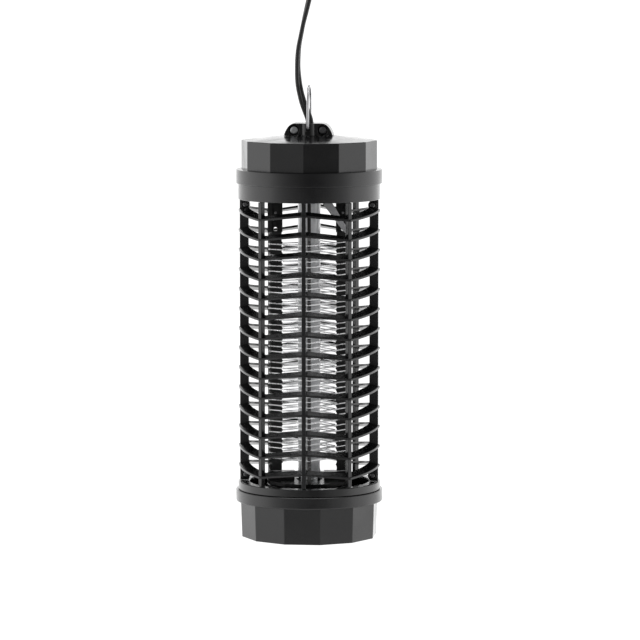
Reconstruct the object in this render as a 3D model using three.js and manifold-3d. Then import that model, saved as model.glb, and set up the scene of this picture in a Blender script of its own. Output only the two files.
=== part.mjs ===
// A hanging electric bug zapper: a UV tube on the axis, a high-voltage wire grid round it, a two-part
// louvred cage, a head that holds the electronics and the cord clamp, and a collecting tray that
// twists off. Millimetres, +Z up, the cage's front rib faces -Y.
// Heights below are measured from the tray's underside. The whole lamp is then lowered so that the
// origin is where a hook meets the hanger.
import * as THREE from 'three';
import { mergeVertices } from 'three/addons/utils/BufferGeometryUtils.js';
import Module from 'manifold-3d';

const wasm = await Module();
wasm.setup();

const TURN = 2 * Math.PI;
const GAP = 0.3;
const SIMPLIFIED_WITHIN = 0.005;

// Body heights
const TRAY_SHOULDER = 25.8;
const TRAY_TOP = 34.1;
const BASE_TOP = 39.7;
const HEAD_BOTTOM = 241.9;
const CAP_BOTTOM = 253.2;
const CAP_SHOULDER = 263.1;
const CAP_RIM = 283.6;
const CAP_TOP = 286.7;

// Body radii
const SIDES = 12;
const ROUND = 36;
const TRAY_RADIUS = 49.5;
const TRAY_FOOT_RADIUS = 48.6;
const TRAY_BAND_RADIUS = 52.4;
const CAP_RADIUS = 48.4;
const CAP_BAND_RADIUS = 52.0;
const CAP_FLAT_RADIUS = 20;
const BASE_RADIUS = 50.7;
const HEAD_RADIUS = 50.5;
const WALL = 2.2;

// Tray lock
const TRAY_TURN = 13.4;
const LUG_ANGLES = [90, 210, 330];
const LUG_WIDTH = 18;
const SKIRT_RADIUS = 45.2;
const SKIRT_BOTTOM = 27.4;

// Cage
const SLAT_COUNT = 14;
const SLAT_PITCH = 14.05;
const SLAT_TOP_Z = 228.2;
const SLAT_OUTER = 50.6;
const SLAT_INNER = 43.5;
const SLAT_THICK = 1.6;
const SLAT_TILT = 2.2;
const SLAT_RISE_PER_DEGREE = 0.095;
const VALLEY_ANGLE = 40;
const RIM_INNER = 45.0;
const RIM_OUTER = 48.8;
const RIM_HEIGHT = 2.8;
const RIM_LOW = BASE_TOP - RIM_HEIGHT - GAP;
const RIM_HIGH = HEAD_BOTTOM + RIM_HEIGHT + GAP;
const MIDDLE_RIB = { inner: 45.6, outer: 49.4, thickness: 3 };
const VALLEY_RIB = { inner: 45.9, outer: 49.7, thickness: 3 };
const SEAM_RIB = { inner: 43.2, outer: 49.5, thickness: 4.3 };
const CAGE_SCREW_HEIGHTS = [43.8, 237.7];
const CAGE_SCREW_X = 45.4;
const CAGE_LUG_RADIUS = 3.2;
const CAGE_LUG_HALF = 3.6;

// Lamp
const LAMP_RADIUS = 8;
const LAMP_BOTTOM = 37.0;
const LAMP_LENGTH = 212;
const LAMP_CAP_LENGTH = 7.5;
const LAMP_HOLE = 9.5;

// Grid
const GRID_TURN = 4.4;
const POST_INNER = 19.6;
const POST_OUTER = 27.8;
const POST_THICK = 2.5;
const POST_HEAD_BOTTOM = 218;
const POST_EYE_Z = 220.2;
const POST_EYE_RADIUS = 1.5;
const HOLDER_RADIUS = 30;
const HOLDER_TOP_Z = 243.6;
const HOLDER_BOTTOM_Z = 38.4;
const HOLDER_PLATE = 2.3;
const HOLDER_BLOCK_TOP = 46.5;
const WIRE = 1.0;
const WIRE_PITCH = 3.84;
const WIRE_TURNS = 41;
const WIRE_START_Z = 54;
const OUTER_WIRE_RADIUS = 29.0;
const INNER_WIRE_RADIUS = 18.6;
const OUTER_LEAD = { x: 13, y: -14.5, holeRadius: 4 };
const INNER_LEAD = { x: 0, y: 15, holeRadius: 2.5 };

// Head deck and electronics
const DECK_BOTTOM = 246.2;
const DECK_TOP = 248.6;
const BOARD_BOTTOM = 252;
const BOARD_THICK = 1.6;
const BOARD_HALF_WIDTH = 31;
const BOARD_FRONT = -20;
const BOARD_BACK = 28;
const BOARD_POSTS = [[-26, -16], [26, -16], [-26, 24], [26, 24]];
const BOARD_POST_RADIUS = 2.6;
const CAPACITOR_SPACING = 10;

// Cord clamp and hanger
const CLAMP_HEIGHT = 8.8;
const CLAMP_HALF_WIDTH = 17.5;
const CLAMP_TOP_HALF_WIDTH = 9.5;
const CLAMP_DEPTH = 8.5;
const CLAMP_BULGE_RADIUS = 5.7;
const CLAMP_BULGE_FACE = 10.5;
const CLAMP_EDGE = 2.5;
const CLAMP_EDGE_SLOPE = 0.9;
const CLAMP_SCREW_X = 10.2;
const CLAMP_SCREW_Z = 290.9;
const CLAMP_SCREW_RADIUS = 2.75;
const CLAMP_SCREW_RECESS = 3.5;
const LEFT_SCREW_FACE = -8.2;
const RIGHT_SCREW_FACE = -6.9;
const CORD_ROOM_HALF = [3.1, 1.9];
const PIVOT_Z = 291.5;
const PIVOT_RADIUS = 1.3;
const PIVOT_Y = [6.5, 17.5];
const HANGER_WIRE = 2;
const HANGER_STEM = [[-6.9, 0], [-9.2, 0], [-11.2, 0.5], [-11.9, 2.5]];
const HANGER_HALF_WIDTH = 11.9;
const HANGER_TOP_Z = 322;
const HANGER_BEND_Z = 309;
const HANG_Z = HANGER_TOP_Z - HANGER_WIRE / 2;

// Cord
const CORD_WIDTH = 5.4;
const COIL_CENTRE = [-2, 0, 431.5];
const COIL_INNER = 23.5;
const COIL_OUTER = 38;
const COIL_HALF_WIDTH = 6;
const TIE_WIDTH = 4;
const TIE_THICK = 1.5;

// Plug, with two flat blades
const PLUG_WIDTH = 24;
const PLUG_DEPTH = 14;
const PLUG_TAIL_WIDTH = 8;
const PLUG_X = -33;
const PLUG_Y = -(COIL_HALF_WIDTH + GAP + PLUG_DEPTH / 2);
const PLUG_TOP_Z = 441;
const PLUG_NECK_Z = 431;
const PLUG_SHOULDER_Z = 423;
const PLUG_FACE_Z = 409;
const BLADE_SPACING = 12.7;
const BLADE_WIDTH = 6.3;
const BLADE_THICK = 1.5;
const BLADE_LENGTH = 17;

const BLACK = { color: 0x1b1c1d, roughness: 0.45, metalness: 0 };
const MATERIALS = {
  black_plastic: new THREE.MeshStandardMaterial(BLACK),
  grid_plastic: new THREE.MeshStandardMaterial({ ...BLACK, color: 0x141414 }),
  cord_rubber: new THREE.MeshStandardMaterial({ color: 0x101010, roughness: 0.6, metalness: 0 }),
  steel: new THREE.MeshStandardMaterial({ color: 0xc4c6c8, roughness: 0.3, metalness: 1 }),
  dark_steel: new THREE.MeshStandardMaterial({ color: 0x2c2d2f, roughness: 0.4, metalness: 0.9 }),
  lamp_glass: new THREE.MeshStandardMaterial({ color: 0xdfe2e6, roughness: 0.2, metalness: 0 }),
  lamp_metal: new THREE.MeshStandardMaterial({ color: 0xd8dadc, roughness: 0.25, metalness: 1 }),
  holder_plastic: new THREE.MeshStandardMaterial({ color: 0xd9d8d2, roughness: 0.5, metalness: 0 }),
  board: new THREE.MeshStandardMaterial({ color: 0x2f5a34, roughness: 0.5, metalness: 0 }),
  component: new THREE.MeshStandardMaterial({ color: 0x8a2f22, roughness: 0.4, metalness: 0 }),
  lead_sleeve: new THREE.MeshStandardMaterial({ color: 0x9a9c9e, roughness: 0.6, metalness: 0 }),
  brass: new THREE.MeshStandardMaterial({ color: 0xb99a55, roughness: 0.3, metalness: 1 }),
};

const radians = (degrees) => THREE.MathUtils.degToRad(degrees);

// A closed geometry as a solid. Faces are turned to point out, and slivers at the axis are dropped.
function solid(geometry) {
  const bare = geometry.clone();
  bare.deleteAttribute('normal');
  bare.deleteAttribute('uv');
  const merged = mergeVertices(bare, 1e-4);
  const points = merged.attributes.position.array;
  const index = merged.index.array;
  let faces = [];
  let volume = 0;
  const [a, b, c] = [new THREE.Vector3(), new THREE.Vector3(), new THREE.Vector3()];
  for (let i = 0; i < index.length; i += 3) {
    const [p, q, r] = index.slice(i, i + 3);
    if (p === q || q === r || r === p) continue;
    faces.push([p, q, r]);
    a.fromArray(points, 3 * p);
    b.fromArray(points, 3 * q);
    c.fromArray(points, 3 * r);
    volume += a.dot(b.cross(c));
  }
  if (volume < 0) faces = faces.map(([p, q, r]) => [p, r, q]);
  return new wasm.Manifold(new wasm.Mesh({
    numProp: 3,
    vertProperties: new Float32Array(points),
    triVerts: new Uint32Array(faces.flat()),
  }));
}

function meshOf(name, body, material) {
  const { vertProperties, triVerts } = body.asOriginal().simplify(SIMPLIFIED_WITHIN).getMesh();
  const geometry = new THREE.BufferGeometry();
  geometry.setAttribute('position', new THREE.BufferAttribute(vertProperties, 3));
  geometry.setIndex(new THREE.BufferAttribute(triVerts, 1));
  geometry.computeVertexNormals();
  const mesh = new THREE.Mesh(geometry, MATERIALS[material]);
  mesh.name = name;
  return mesh;
}

// Basic solids, all placed in the lamp's own frame

// A turned solid about the Z axis. A profile is a list of [radius, height] and is closed by itself.
// The first of the sides' corners faces -Y.
function turned(profile, sides = ROUND) {
  const onAxis = profile[0][0] === 0 && profile.at(-1)[0] === 0;
  const points = (onAxis ? profile : [...profile, profile[0]]).map(([r, z]) => new THREE.Vector2(r, z));
  return solid(new THREE.LatheGeometry(points, sides).rotateX(Math.PI / 2));
}

const disc = (radius, low, high, sides = ROUND) => (
  turned([[0, low], [radius, low], [radius, high], [0, high]], sides));

const ring = (inner, outer, low, high, sides = ROUND) => (
  turned([[inner, low], [outer, low], [outer, high], [inner, high]], sides));

function box([x0, y0, z0], [x1, y1, z1]) {
  const shape = new THREE.BoxGeometry(x1 - x0, y1 - y0, z1 - z0);
  return solid(shape.translate((x0 + x1) / 2, (y0 + y1) / 2, (z0 + z1) / 2));
}

// A radial plate: angle 0 faces -Y and grows towards +X.
function plate(inner, outer, thickness, low, high, angle) {
  const shape = new THREE.BoxGeometry(thickness, outer - inner, high - low);
  shape.translate(0, -(inner + outer) / 2, (low + high) / 2);
  return solid(shape.rotateZ(radians(angle)));
}

// A round bar along Y, from y0 to y1.
function barY(x, z, radius, y0, y1, sides = 12) {
  const shape = new THREE.CylinderGeometry(radius, radius, y1 - y0, sides);
  return solid(shape.translate(x, (y0 + y1) / 2, z));
}

// A round bar along Z.
function barZ(x, y, radius, z0, z1, sides = 12) {
  const shape = new THREE.CylinderGeometry(radius, radius, z1 - z0, sides).rotateX(Math.PI / 2);
  return solid(shape.translate(x, y, (z0 + z1) / 2));
}

// A tube of an even section along a curve.
function tube(points, radius, steps, sides = 8) {
  const section = new THREE.Shape();
  for (let i = 0; i < sides; i += 1) {
    const angle = (TURN * (i + 0.5)) / sides;
    const at = [radius * Math.cos(angle), radius * Math.sin(angle)];
    if (i === 0) section.moveTo(...at);
    else section.lineTo(...at);
  }
  section.closePath();
  const path = new THREE.CatmullRomCurve3(points.map((p) => new THREE.Vector3(...p)));
  return solid(new THREE.ExtrudeGeometry(section, { steps, extrudePath: path, bevelEnabled: false }));
}

// A closed skin through equal loops of points. It has a flat face at each end, or comes round to
// its first loop.
function loft(loops, comesRound = false) {
  const count = loops[0].length;
  const spans = comesRound ? loops.length : loops.length - 1;
  const index = [];
  for (let s = 0; s < spans; s += 1) {
    const next = ((s + 1) % loops.length) * count;
    for (let k = 0; k < count; k += 1) {
      const a = s * count + k;
      const b = s * count + ((k + 1) % count);
      const c = next + k;
      const d = next + ((k + 1) % count);
      index.push(a, b, d, a, d, c);
    }
  }
  const last = (loops.length - 1) * count;
  for (let k = 1; !comesRound && k + 1 < count; k += 1) {
    index.push(0, k + 1, k, last, last + k, last + k + 1);
  }
  const geometry = new THREE.BufferGeometry();
  geometry.setAttribute('position', new THREE.Float32BufferAttribute(loops.flat(2), 3));
  geometry.setIndex(index);
  return solid(geometry);
}

const joined = (solids) => solids.reduce((whole, next) => whole.add(next));
const cut = (body, cutters) => cutters.reduce((left, cutter) => left.subtract(cutter), body);

// Head

// The twelve-sided cap or the room in it, under a low cone that is flat in the middle.
const coned = (radius, low, below) => turned([
  [0, low], [radius, low], [radius, CAP_RIM - below],
  [CAP_FLAT_RADIUS, CAP_TOP - below], [0, CAP_TOP - below],
], SIDES);

function topCap() {
  const outside = turned([
    [0, CAP_BOTTOM], [CAP_BAND_RADIUS, CAP_BOTTOM], [CAP_BAND_RADIUS, CAP_SHOULDER - 0.6],
    [CAP_BAND_RADIUS - 0.6, CAP_SHOULDER], [0, CAP_SHOULDER],
  ]);
  const facets = coned(CAP_RADIUS, CAP_SHOULDER - 1, 0);
  const bandRoom = disc(CAP_BAND_RADIUS - WALL, CAP_BOTTOM - 1, CAP_SHOULDER - WALL);
  const capRoom = coned(CAP_RADIUS - 1.15 * WALL, CAP_BOTTOM, WALL);
  const cordHole = disc(4, CAP_TOP - 2 * WALL, CAP_TOP + 1, 16);
  return cut(outside.add(facets), [bandRoom, capRoom, cordHole]);
}

function headChassis() {
  const wallInner = RIM_INNER - WALL;
  const spigotOuter = CAP_BAND_RADIUS - WALL - 0.5;
  const spigotInner = spigotOuter - 2;
  const grooveTop = HEAD_BOTTOM + RIM_HEIGHT + 2 * GAP;
  const body = turned([
    [HEAD_RADIUS, HEAD_BOTTOM], [HEAD_RADIUS, CAP_BOTTOM - GAP], [spigotOuter, CAP_BOTTOM - GAP],
    [spigotOuter, CAP_BOTTOM + 4.6], [spigotInner, CAP_BOTTOM + 4.6], [spigotInner, DECK_TOP],
    [LAMP_HOLE + 1.5, DECK_TOP], [LAMP_HOLE + 1.5, DECK_BOTTOM], [wallInner, DECK_BOTTOM],
    [wallInner, HEAD_BOTTOM], [RIM_INNER - GAP, HEAD_BOTTOM], [RIM_INNER - GAP, grooveTop],
    [RIM_OUTER + GAP, grooveTop], [RIM_OUTER + GAP, HEAD_BOTTOM],
  ]);
  return cut(body, leadHoles(DECK_BOTTOM, DECK_TOP));
}

function leadHoles(low, high) {
  return [OUTER_LEAD, INNER_LEAD].map(({ x, y, holeRadius }) => barZ(x, y, holeRadius, low - 1, high + 1));
}

function deckPosts() {
  return BOARD_POSTS.map(([x, y], i) => {
    const post = barZ(x, y, BOARD_POST_RADIUS, DECK_TOP + GAP, BOARD_BOTTOM - GAP);
    return meshOf(`board_spacer_${i + 1}`, post, 'black_plastic');
  });
}

function circuitBoard() {
  const top = BOARD_BOTTOM + BOARD_THICK;
  const board = box([-BOARD_HALF_WIDTH, BOARD_FRONT, BOARD_BOTTOM], [BOARD_HALF_WIDTH, BOARD_BACK, top]);
  const lampRoom = barZ(0, 0, LAMP_HOLE + 1.5, BOARD_BOTTOM - 1, top + 1, 20);
  return cut(board, [lampRoom]);
}

function electronics() {
  const low = BOARD_BOTTOM + BOARD_THICK + GAP;
  const choke = box([-29, -8, low], [-13, 8, low + 15]);
  const chokeCore = box([-27, -11, low + 3], [-15, 11, low + 12]);
  const drum = barZ(21, 2, 6.5, low, low + 17, 16);
  const terminal = box([-9, -19, low], [9, -12, low + 9]);
  const entries = [-4.5, 4.5].map((x) => barZ(x, -15.5, 1.6, low + 3, low + 10));
  const capacitors = [-1.5, -0.5, 0.5, 1.5].map((place, i) => {
    const x = place * CAPACITOR_SPACING;
    return meshOf(`hv_capacitor_${i + 1}`, box([x - 3.8, 15, low], [x + 3.8, 21, low + 10]), 'component');
  });
  return [
    meshOf('circuit_board', circuitBoard(), 'board'),
    meshOf('lamp_ballast', choke.add(chokeCore), 'dark_steel'),
    meshOf('supply_capacitor', drum, 'dark_steel'),
    meshOf('terminal_block', cut(terminal, entries), 'holder_plastic'),
    ...capacitors,
  ];
}

// Cord clamp and hanger

function clampOutline() {
  const low = CAP_TOP + GAP;
  const shoulder = CLAMP_HALF_WIDTH - CLAMP_TOP_HALF_WIDTH;
  const outline = new THREE.Shape();
  outline.moveTo(-CLAMP_HALF_WIDTH, low);
  outline.lineTo(CLAMP_HALF_WIDTH, low);
  outline.lineTo(CLAMP_HALF_WIDTH - CLAMP_EDGE_SLOPE, low + CLAMP_EDGE);
  const corner = [CLAMP_HALF_WIDTH - 0.45 * shoulder, low + CLAMP_HEIGHT];
  outline.quadraticCurveTo(...corner, CLAMP_TOP_HALF_WIDTH, low + CLAMP_HEIGHT);
  outline.lineTo(-CLAMP_TOP_HALF_WIDTH, low + CLAMP_HEIGHT);
  outline.quadraticCurveTo(-corner[0], corner[1], -CLAMP_HALF_WIDTH + CLAMP_EDGE_SLOPE, low + CLAMP_EDGE);
  outline.closePath();
  return outline;
}

// One half of the clamp, in front of the cord for side -1 and behind it for side 1.
function clampHalf(side) {
  const low = CAP_TOP + GAP;
  const outline = new THREE.ExtrudeGeometry(clampOutline(), {
    depth: CLAMP_DEPTH - GAP / 2, curveSegments: 5, bevelEnabled: false,
  });
  // Extruded along Z with the outline's height in Y, then stood up.
  outline.rotateX(Math.PI / 2).translate(0, side < 0 ? -GAP / 2 : CLAMP_DEPTH, 0);
  const bulgeCentre = CLAMP_BULGE_FACE - CLAMP_BULGE_RADIUS;
  const bulge = barZ(0, side * bulgeCentre, CLAMP_BULGE_RADIUS, low, low + CLAMP_HEIGHT, 20);
  const otherSide = box([-10, -GAP / 2, low - 1], [10, side * -20, low + 20]);
  const [across, deep] = CORD_ROOM_HALF;
  const cordRoom = box([-across, -deep, low - 1], [across, deep, low + 20]);
  const pivotEnds = PIVOT_Y.map((y) => side * y).sort((a, b) => a - b);
  const pivot = barY(0, PIVOT_Z, PIVOT_RADIUS, ...pivotEnds, 10);
  const slot = box([-2, side * 14 - 5, low + 0.8], [2, side * 14 + 5, PIVOT_Z - 1.8]);
  const shankRoom = [-1, 1].map((hand) => (
    barY(hand * CLAMP_SCREW_X, CLAMP_SCREW_Z, 1.6, -9, side < 0 ? 1 : 6.8)));
  const headRoom = [-1, 1].map((hand) => (
    barY(hand * CLAMP_SCREW_X, CLAMP_SCREW_Z, CLAMP_SCREW_RECESS, -9, -5, 16)));
  const screwRoom = side < 0 ? [...shankRoom, ...headRoom] : shankRoom;
  return cut(solid(outline).add(bulge), [otherSide, cordRoom, pivot, slot, ...screwRoom]);
}

function clampScrew(hand, headFace) {
  const head = barY(hand * CLAMP_SCREW_X, CLAMP_SCREW_Z, CLAMP_SCREW_RADIUS, headFace, headFace + 1.7, 16);
  const shank = barY(hand * CLAMP_SCREW_X, CLAMP_SCREW_Z, 1.2, headFace + 1, 6.2);
  const crossed = [[2, 0.35], [0.35, 2]].map(([w, h]) => box(
    [hand * CLAMP_SCREW_X - w, headFace - 1, CLAMP_SCREW_Z - h],
    [hand * CLAMP_SCREW_X + w, headFace + 0.7, CLAMP_SCREW_Z + h],
  ));
  return cut(head.add(shank), crossed);
}

// The hanger is a wire loop whose two ends turn into the clamp, front and back.
function hanger() {
  const stem = HANGER_STEM.map(([y, rise]) => [0, y, PIVOT_Z + rise]);
  const arch = [...stem, [0, -HANGER_HALF_WIDTH, HANGER_BEND_Z - 6]];
  for (let angle = 180; angle >= 0; angle -= 22.5) {
    arch.push([
      0,
      HANGER_HALF_WIDTH * Math.cos(radians(angle)),
      HANGER_BEND_Z + (HANGER_TOP_Z - HANGER_BEND_Z) * Math.sin(radians(angle)),
    ]);
  }
  const otherStem = stem.map(([x, y, z]) => [x, -y, z]).reverse();
  arch.push([0, HANGER_HALF_WIDTH, HANGER_BEND_Z - 6], ...otherStem);
  return tube(arch, HANGER_WIRE / 2, 40);
}

// Cage

const VALLEYS = [VALLEY_ANGLE, 180 - VALLEY_ANGLE];

// How far a slat has risen from its lowest corner, at an angle from the front.
function slatRise(degrees) {
  const folded = Math.abs(THREE.MathUtils.euclideanModulo(degrees + 180, 360) - 180);
  return SLAT_RISE_PER_DEGREE * Math.min(...VALLEYS.map((valley) => Math.abs(folded - valley)));
}

// Slats run straight between corners at the ribs and the seams.
const SLAT_CORNERS = [
  0, VALLEY_ANGLE, 90, 180 - VALLEY_ANGLE, 180, 180 + VALLEY_ANGLE, 270, 360 - VALLEY_ANGLE,
];

function slat(low) {
  const loops = SLAT_CORNERS.map((degrees) => {
    const angle = radians(degrees);
    const rise = low + slatRise(degrees);
    return [
      [SLAT_OUTER, 0], [SLAT_OUTER, SLAT_THICK],
      [SLAT_INNER, SLAT_THICK + SLAT_TILT], [SLAT_INNER, SLAT_TILT],
    ].map(([r, z]) => [r * Math.sin(angle), -r * Math.cos(angle), rise + z]);
  });
  return loft(loops, true);
}

// A rib stands between the head and the base, and a narrower tang at each end joins it to the rims.
function rib({ inner, outer, thickness }, angle) {
  const shaft = plate(inner, outer, thickness, BASE_TOP + GAP, HEAD_BOTTOM - GAP, angle);
  const tang = plate(RIM_INNER + 0.3, RIM_OUTER - 0.3, thickness, RIM_LOW + 1, RIM_HIGH - 1, angle);
  return shaft.add(tang);
}

function wholeCage() {
  const rims = [
    ring(RIM_INNER, RIM_OUTER, RIM_LOW, RIM_LOW + RIM_HEIGHT),
    ring(RIM_INNER, RIM_OUTER, RIM_HIGH - RIM_HEIGHT, RIM_HIGH),
  ];
  const slats = Array.from({ length: SLAT_COUNT }, (_, k) => slat(SLAT_TOP_Z - SLAT_PITCH * k));
  const middles = [0, 180].map((angle) => rib(MIDDLE_RIB, angle));
  const valleys = VALLEYS.flatMap((angle) => [rib(VALLEY_RIB, angle), rib(VALLEY_RIB, -angle)]);
  const seams = [90, 270].map((angle) => rib(SEAM_RIB, angle));
  const screwPlaces = CAGE_SCREW_HEIGHTS.flatMap((z) => [[-CAGE_SCREW_X, z], [CAGE_SCREW_X, z]]);
  const lugs = screwPlaces.map(([x, z]) => (
    barY(x, z, CAGE_LUG_RADIUS, -CAGE_LUG_HALF, CAGE_LUG_HALF, 16)));
  const bores = screwPlaces.flatMap(([x, z]) => [
    barY(x, z, 1.3, -CAGE_LUG_HALF - 1, 2.6, 10),
    barY(x, z, 2.2, -CAGE_LUG_HALF - 1, -2.2, 12),
  ]);
  return cut(joined([...rims, ...middles, ...valleys, ...seams, ...lugs, ...slats]), bores);
}

function cageHalves() {
  const whole = wholeCage();
  const reach = 60;
  const front = box([-reach, -reach, 0], [reach, -GAP / 2, CAP_TOP]);
  const back = box([-reach, GAP / 2, 0], [reach, reach, CAP_TOP]);
  return [
    meshOf('cage_front', whole.intersect(front), 'black_plastic'),
    meshOf('cage_back', whole.intersect(back), 'black_plastic'),
  ];
}

function cageScrews() {
  return CAGE_SCREW_HEIGHTS.flatMap((z, row) => [-1, 1].map((hand) => {
    const x = hand * CAGE_SCREW_X;
    const body = barY(x, z, 1.8, -3.5, -2.5, 12).add(barY(x, z, 0.95, -3, 2.2, 8));
    const name = `cage_screw_${row === 0 ? 'lower' : 'upper'}_${hand < 0 ? 'left' : 'right'}`;
    return meshOf(name, body, 'dark_steel');
  }));
}

// Base and tray

function baseRing() {
  const low = TRAY_TOP + GAP;
  const wallInner = RIM_INNER - WALL;
  const grooveFloor = BASE_TOP - RIM_HEIGHT - 2 * GAP;
  const outer = turned([
    [BASE_RADIUS, low], [BASE_RADIUS, BASE_TOP], [RIM_OUTER + GAP, BASE_TOP],
    [RIM_OUTER + GAP, grooveFloor], [RIM_INNER - GAP, grooveFloor], [RIM_INNER - GAP, BASE_TOP],
    [wallInner, BASE_TOP], [wallInner, SKIRT_BOTTOM], [SKIRT_RADIUS, SKIRT_BOTTOM],
    [SKIRT_RADIUS, low],
  ]);
  const spokes = [45, 135, 225, 315].map((angle) => plate(20, wallInner + 1, 6, low, low + 3.4, angle));
  const hub = ring(13, HOLDER_RADIUS, low, low + 3.4);
  const lugs = LUG_ANGLES.map((angle) => (
    plate(SKIRT_RADIUS - 1.5, 48.2, LUG_WIDTH, SKIRT_BOTTOM + 0.6, SKIRT_BOTTOM + 2.4, angle)));
  return joined([outer, hub, ...spokes, ...lugs]);
}

function collectingTray() {
  const cup = turned([
    [0, 0], [TRAY_FOOT_RADIUS, 0], [TRAY_RADIUS, TRAY_SHOULDER + 0.5], [0, TRAY_SHOULDER + 0.5],
  ], SIDES);
  const band = turned([
    [0, TRAY_SHOULDER], [TRAY_BAND_RADIUS - 0.8, TRAY_SHOULDER],
    [TRAY_BAND_RADIUS, TRAY_SHOULDER + 0.8], [TRAY_BAND_RADIUS, TRAY_TOP], [0, TRAY_TOP],
  ]);
  const room = disc(TRAY_FOOT_RADIUS - 1.15 * WALL, WALL, TRAY_TOP + 1, SIDES);
  const bandRoom = disc(TRAY_BAND_RADIUS - 3.2, SKIRT_BOTTOM - 0.5, TRAY_TOP + 1);
  const lugs = LUG_ANGLES.map((angle) => (
    plate(SKIRT_RADIUS + 0.8, 50.5, LUG_WIDTH, SKIRT_BOTTOM + 2.9, SKIRT_BOTTOM + 4.9, angle)));
  const cupTurned = cup.rotate([0, 0, TRAY_TURN]);
  const roomTurned = room.rotate([0, 0, TRAY_TURN]);
  return joined([cut(cupTurned.add(band), [roomTurned, bandRoom]), ...lugs]);
}

// Lamp

function lamp() {
  const top = LAMP_BOTTOM + LAMP_LENGTH;
  const glassLow = LAMP_BOTTOM + LAMP_CAP_LENGTH;
  const glassHigh = top - LAMP_CAP_LENGTH;
  const capShape = (low, high) => disc(LAMP_RADIUS + 0.1, low, high, 24);
  const pins = [['lower', LAMP_BOTTOM - 6.5, LAMP_BOTTOM], ['upper', top, top + 6.5]];
  const pinMeshes = pins.flatMap(([place, low, high]) => [-1, 1].map((hand) => (
    meshOf(`lamp_pin_${place}_${hand < 0 ? 'left' : 'right'}`,
      barZ(hand * 2.5, 0, 1.1, low + GAP, high - GAP, 10), 'brass'))));
  const socket = (low, high, pinLow) => cut(disc(8.6, low, high, 24), [-1, 1].map((hand) => (
    barZ(hand * 2.5, 0, 1.5, pinLow, pinLow + 7.5, 10))));
  return [
    meshOf('uv_lamp_tube', disc(LAMP_RADIUS, glassLow + GAP, glassHigh - GAP, 24), 'lamp_glass'),
    meshOf('lamp_cap_lower', capShape(LAMP_BOTTOM, glassLow), 'lamp_metal'),
    meshOf('lamp_cap_upper', capShape(glassHigh, top), 'lamp_metal'),
    meshOf('lamp_socket_lower', socket(27.5, LAMP_BOTTOM - GAP, LAMP_BOTTOM - 7), 'holder_plastic'),
    meshOf('lamp_socket_upper', socket(top + GAP, top + 9.5, top - 0.5), 'holder_plastic'),
    ...pinMeshes,
  ];
}

// Grid

const POSTS = [['front', 0], ['right', 90], ['back', 180], ['left', 270]];

// A post is a radial plate with a pointed outer edge, notched where each turn of wire rests, and a
// wider head with a hole that the wire's end is drawn through.
function gridPost(angle) {
  const side = angle % 180 === 90;
  const low = side ? HOLDER_BLOCK_TOP + GAP : HOLDER_BOTTOM_Z + HOLDER_PLATE + GAP;
  const half = POST_THICK / 2;
  const outline = new THREE.Shape();
  [
    [half, -POST_INNER], [-half, -POST_INNER], [-half, -POST_OUTER + half], [0, -POST_OUTER],
    [half, -POST_OUTER + half],
  ].forEach(([x, y], i) => (i === 0 ? outline.moveTo(x, y) : outline.lineTo(x, y)));
  outline.closePath();
  const high = HOLDER_TOP_Z - GAP;
  const blade = new THREE.ExtrudeGeometry(outline, { depth: high - low, bevelEnabled: false });
  const bladeSolid = solid(blade.translate(0, 0, low));
  const head = plate(POST_INNER - 0.6, POST_OUTER + 1.8, POST_THICK, POST_HEAD_BOTTOM, high, 0);
  const eye = new THREE.CylinderGeometry(POST_EYE_RADIUS, POST_EYE_RADIUS, 8, 12);
  eye.rotateZ(Math.PI / 2).translate(0, -24, POST_EYE_Z);
  return cut(bladeSolid.add(head), [solid(eye)]).rotate([0, 0, angle + GRID_TURN]);
}

function gridHolderTop() {
  const body = ring(LAMP_HOLE, HOLDER_RADIUS, HOLDER_TOP_Z, HOLDER_TOP_Z + HOLDER_PLATE);
  return cut(body, leadHoles(HOLDER_TOP_Z, HOLDER_TOP_Z + HOLDER_PLATE));
}

function gridHolderBottom() {
  const floor = ring(LAMP_HOLE, HOLDER_RADIUS, HOLDER_BOTTOM_Z, HOLDER_BOTTOM_Z + HOLDER_PLATE);
  const blockLow = HOLDER_BOTTOM_Z + 1;
  const blocks = [90, 270].map((angle) => (
    plate(LAMP_HOLE + 1, HOLDER_RADIUS - 0.5, 10, blockLow, HOLDER_BLOCK_TOP, angle + GRID_TURN)));
  return joined([floor, ...blocks]);
}

// A wire wound over the four posts: straight from post to post, rising evenly.
function gridWire(radius, startQuarter) {
  const halfAcross = (WIRE / 2) * Math.SQRT2;
  const halfUp = WIRE / 2;
  const loops = [];
  for (let quarter = startQuarter; quarter <= 4 * WIRE_TURNS + startQuarter; quarter += 1) {
    const angle = radians(90 * quarter + GRID_TURN);
    const z = WIRE_START_Z + ((quarter - startQuarter) * WIRE_PITCH) / 4;
    loops.push([[-1, -1], [1, -1], [1, 1], [-1, 1]].map(([across, up]) => [
      (radius + across * halfAcross) * Math.sin(angle),
      -(radius + across * halfAcross) * Math.cos(angle),
      z + up * halfUp,
    ]));
  }
  return loft(loops);
}

function grid() {
  const posts = POSTS.map(([place, angle]) => (
    meshOf(`grid_post_${place}`, gridPost(angle), 'grid_plastic')));
  return [
    meshOf('grid_holder_top', gridHolderTop(), 'grid_plastic'),
    meshOf('grid_holder_bottom', gridHolderBottom(), 'grid_plastic'),
    meshOf('outer_grid_wire', gridWire(OUTER_WIRE_RADIUS, 1), 'steel'),
    meshOf('inner_grid_wire', gridWire(INNER_WIRE_RADIUS, 2), 'steel'),
    ...posts,
  ];
}

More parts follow.
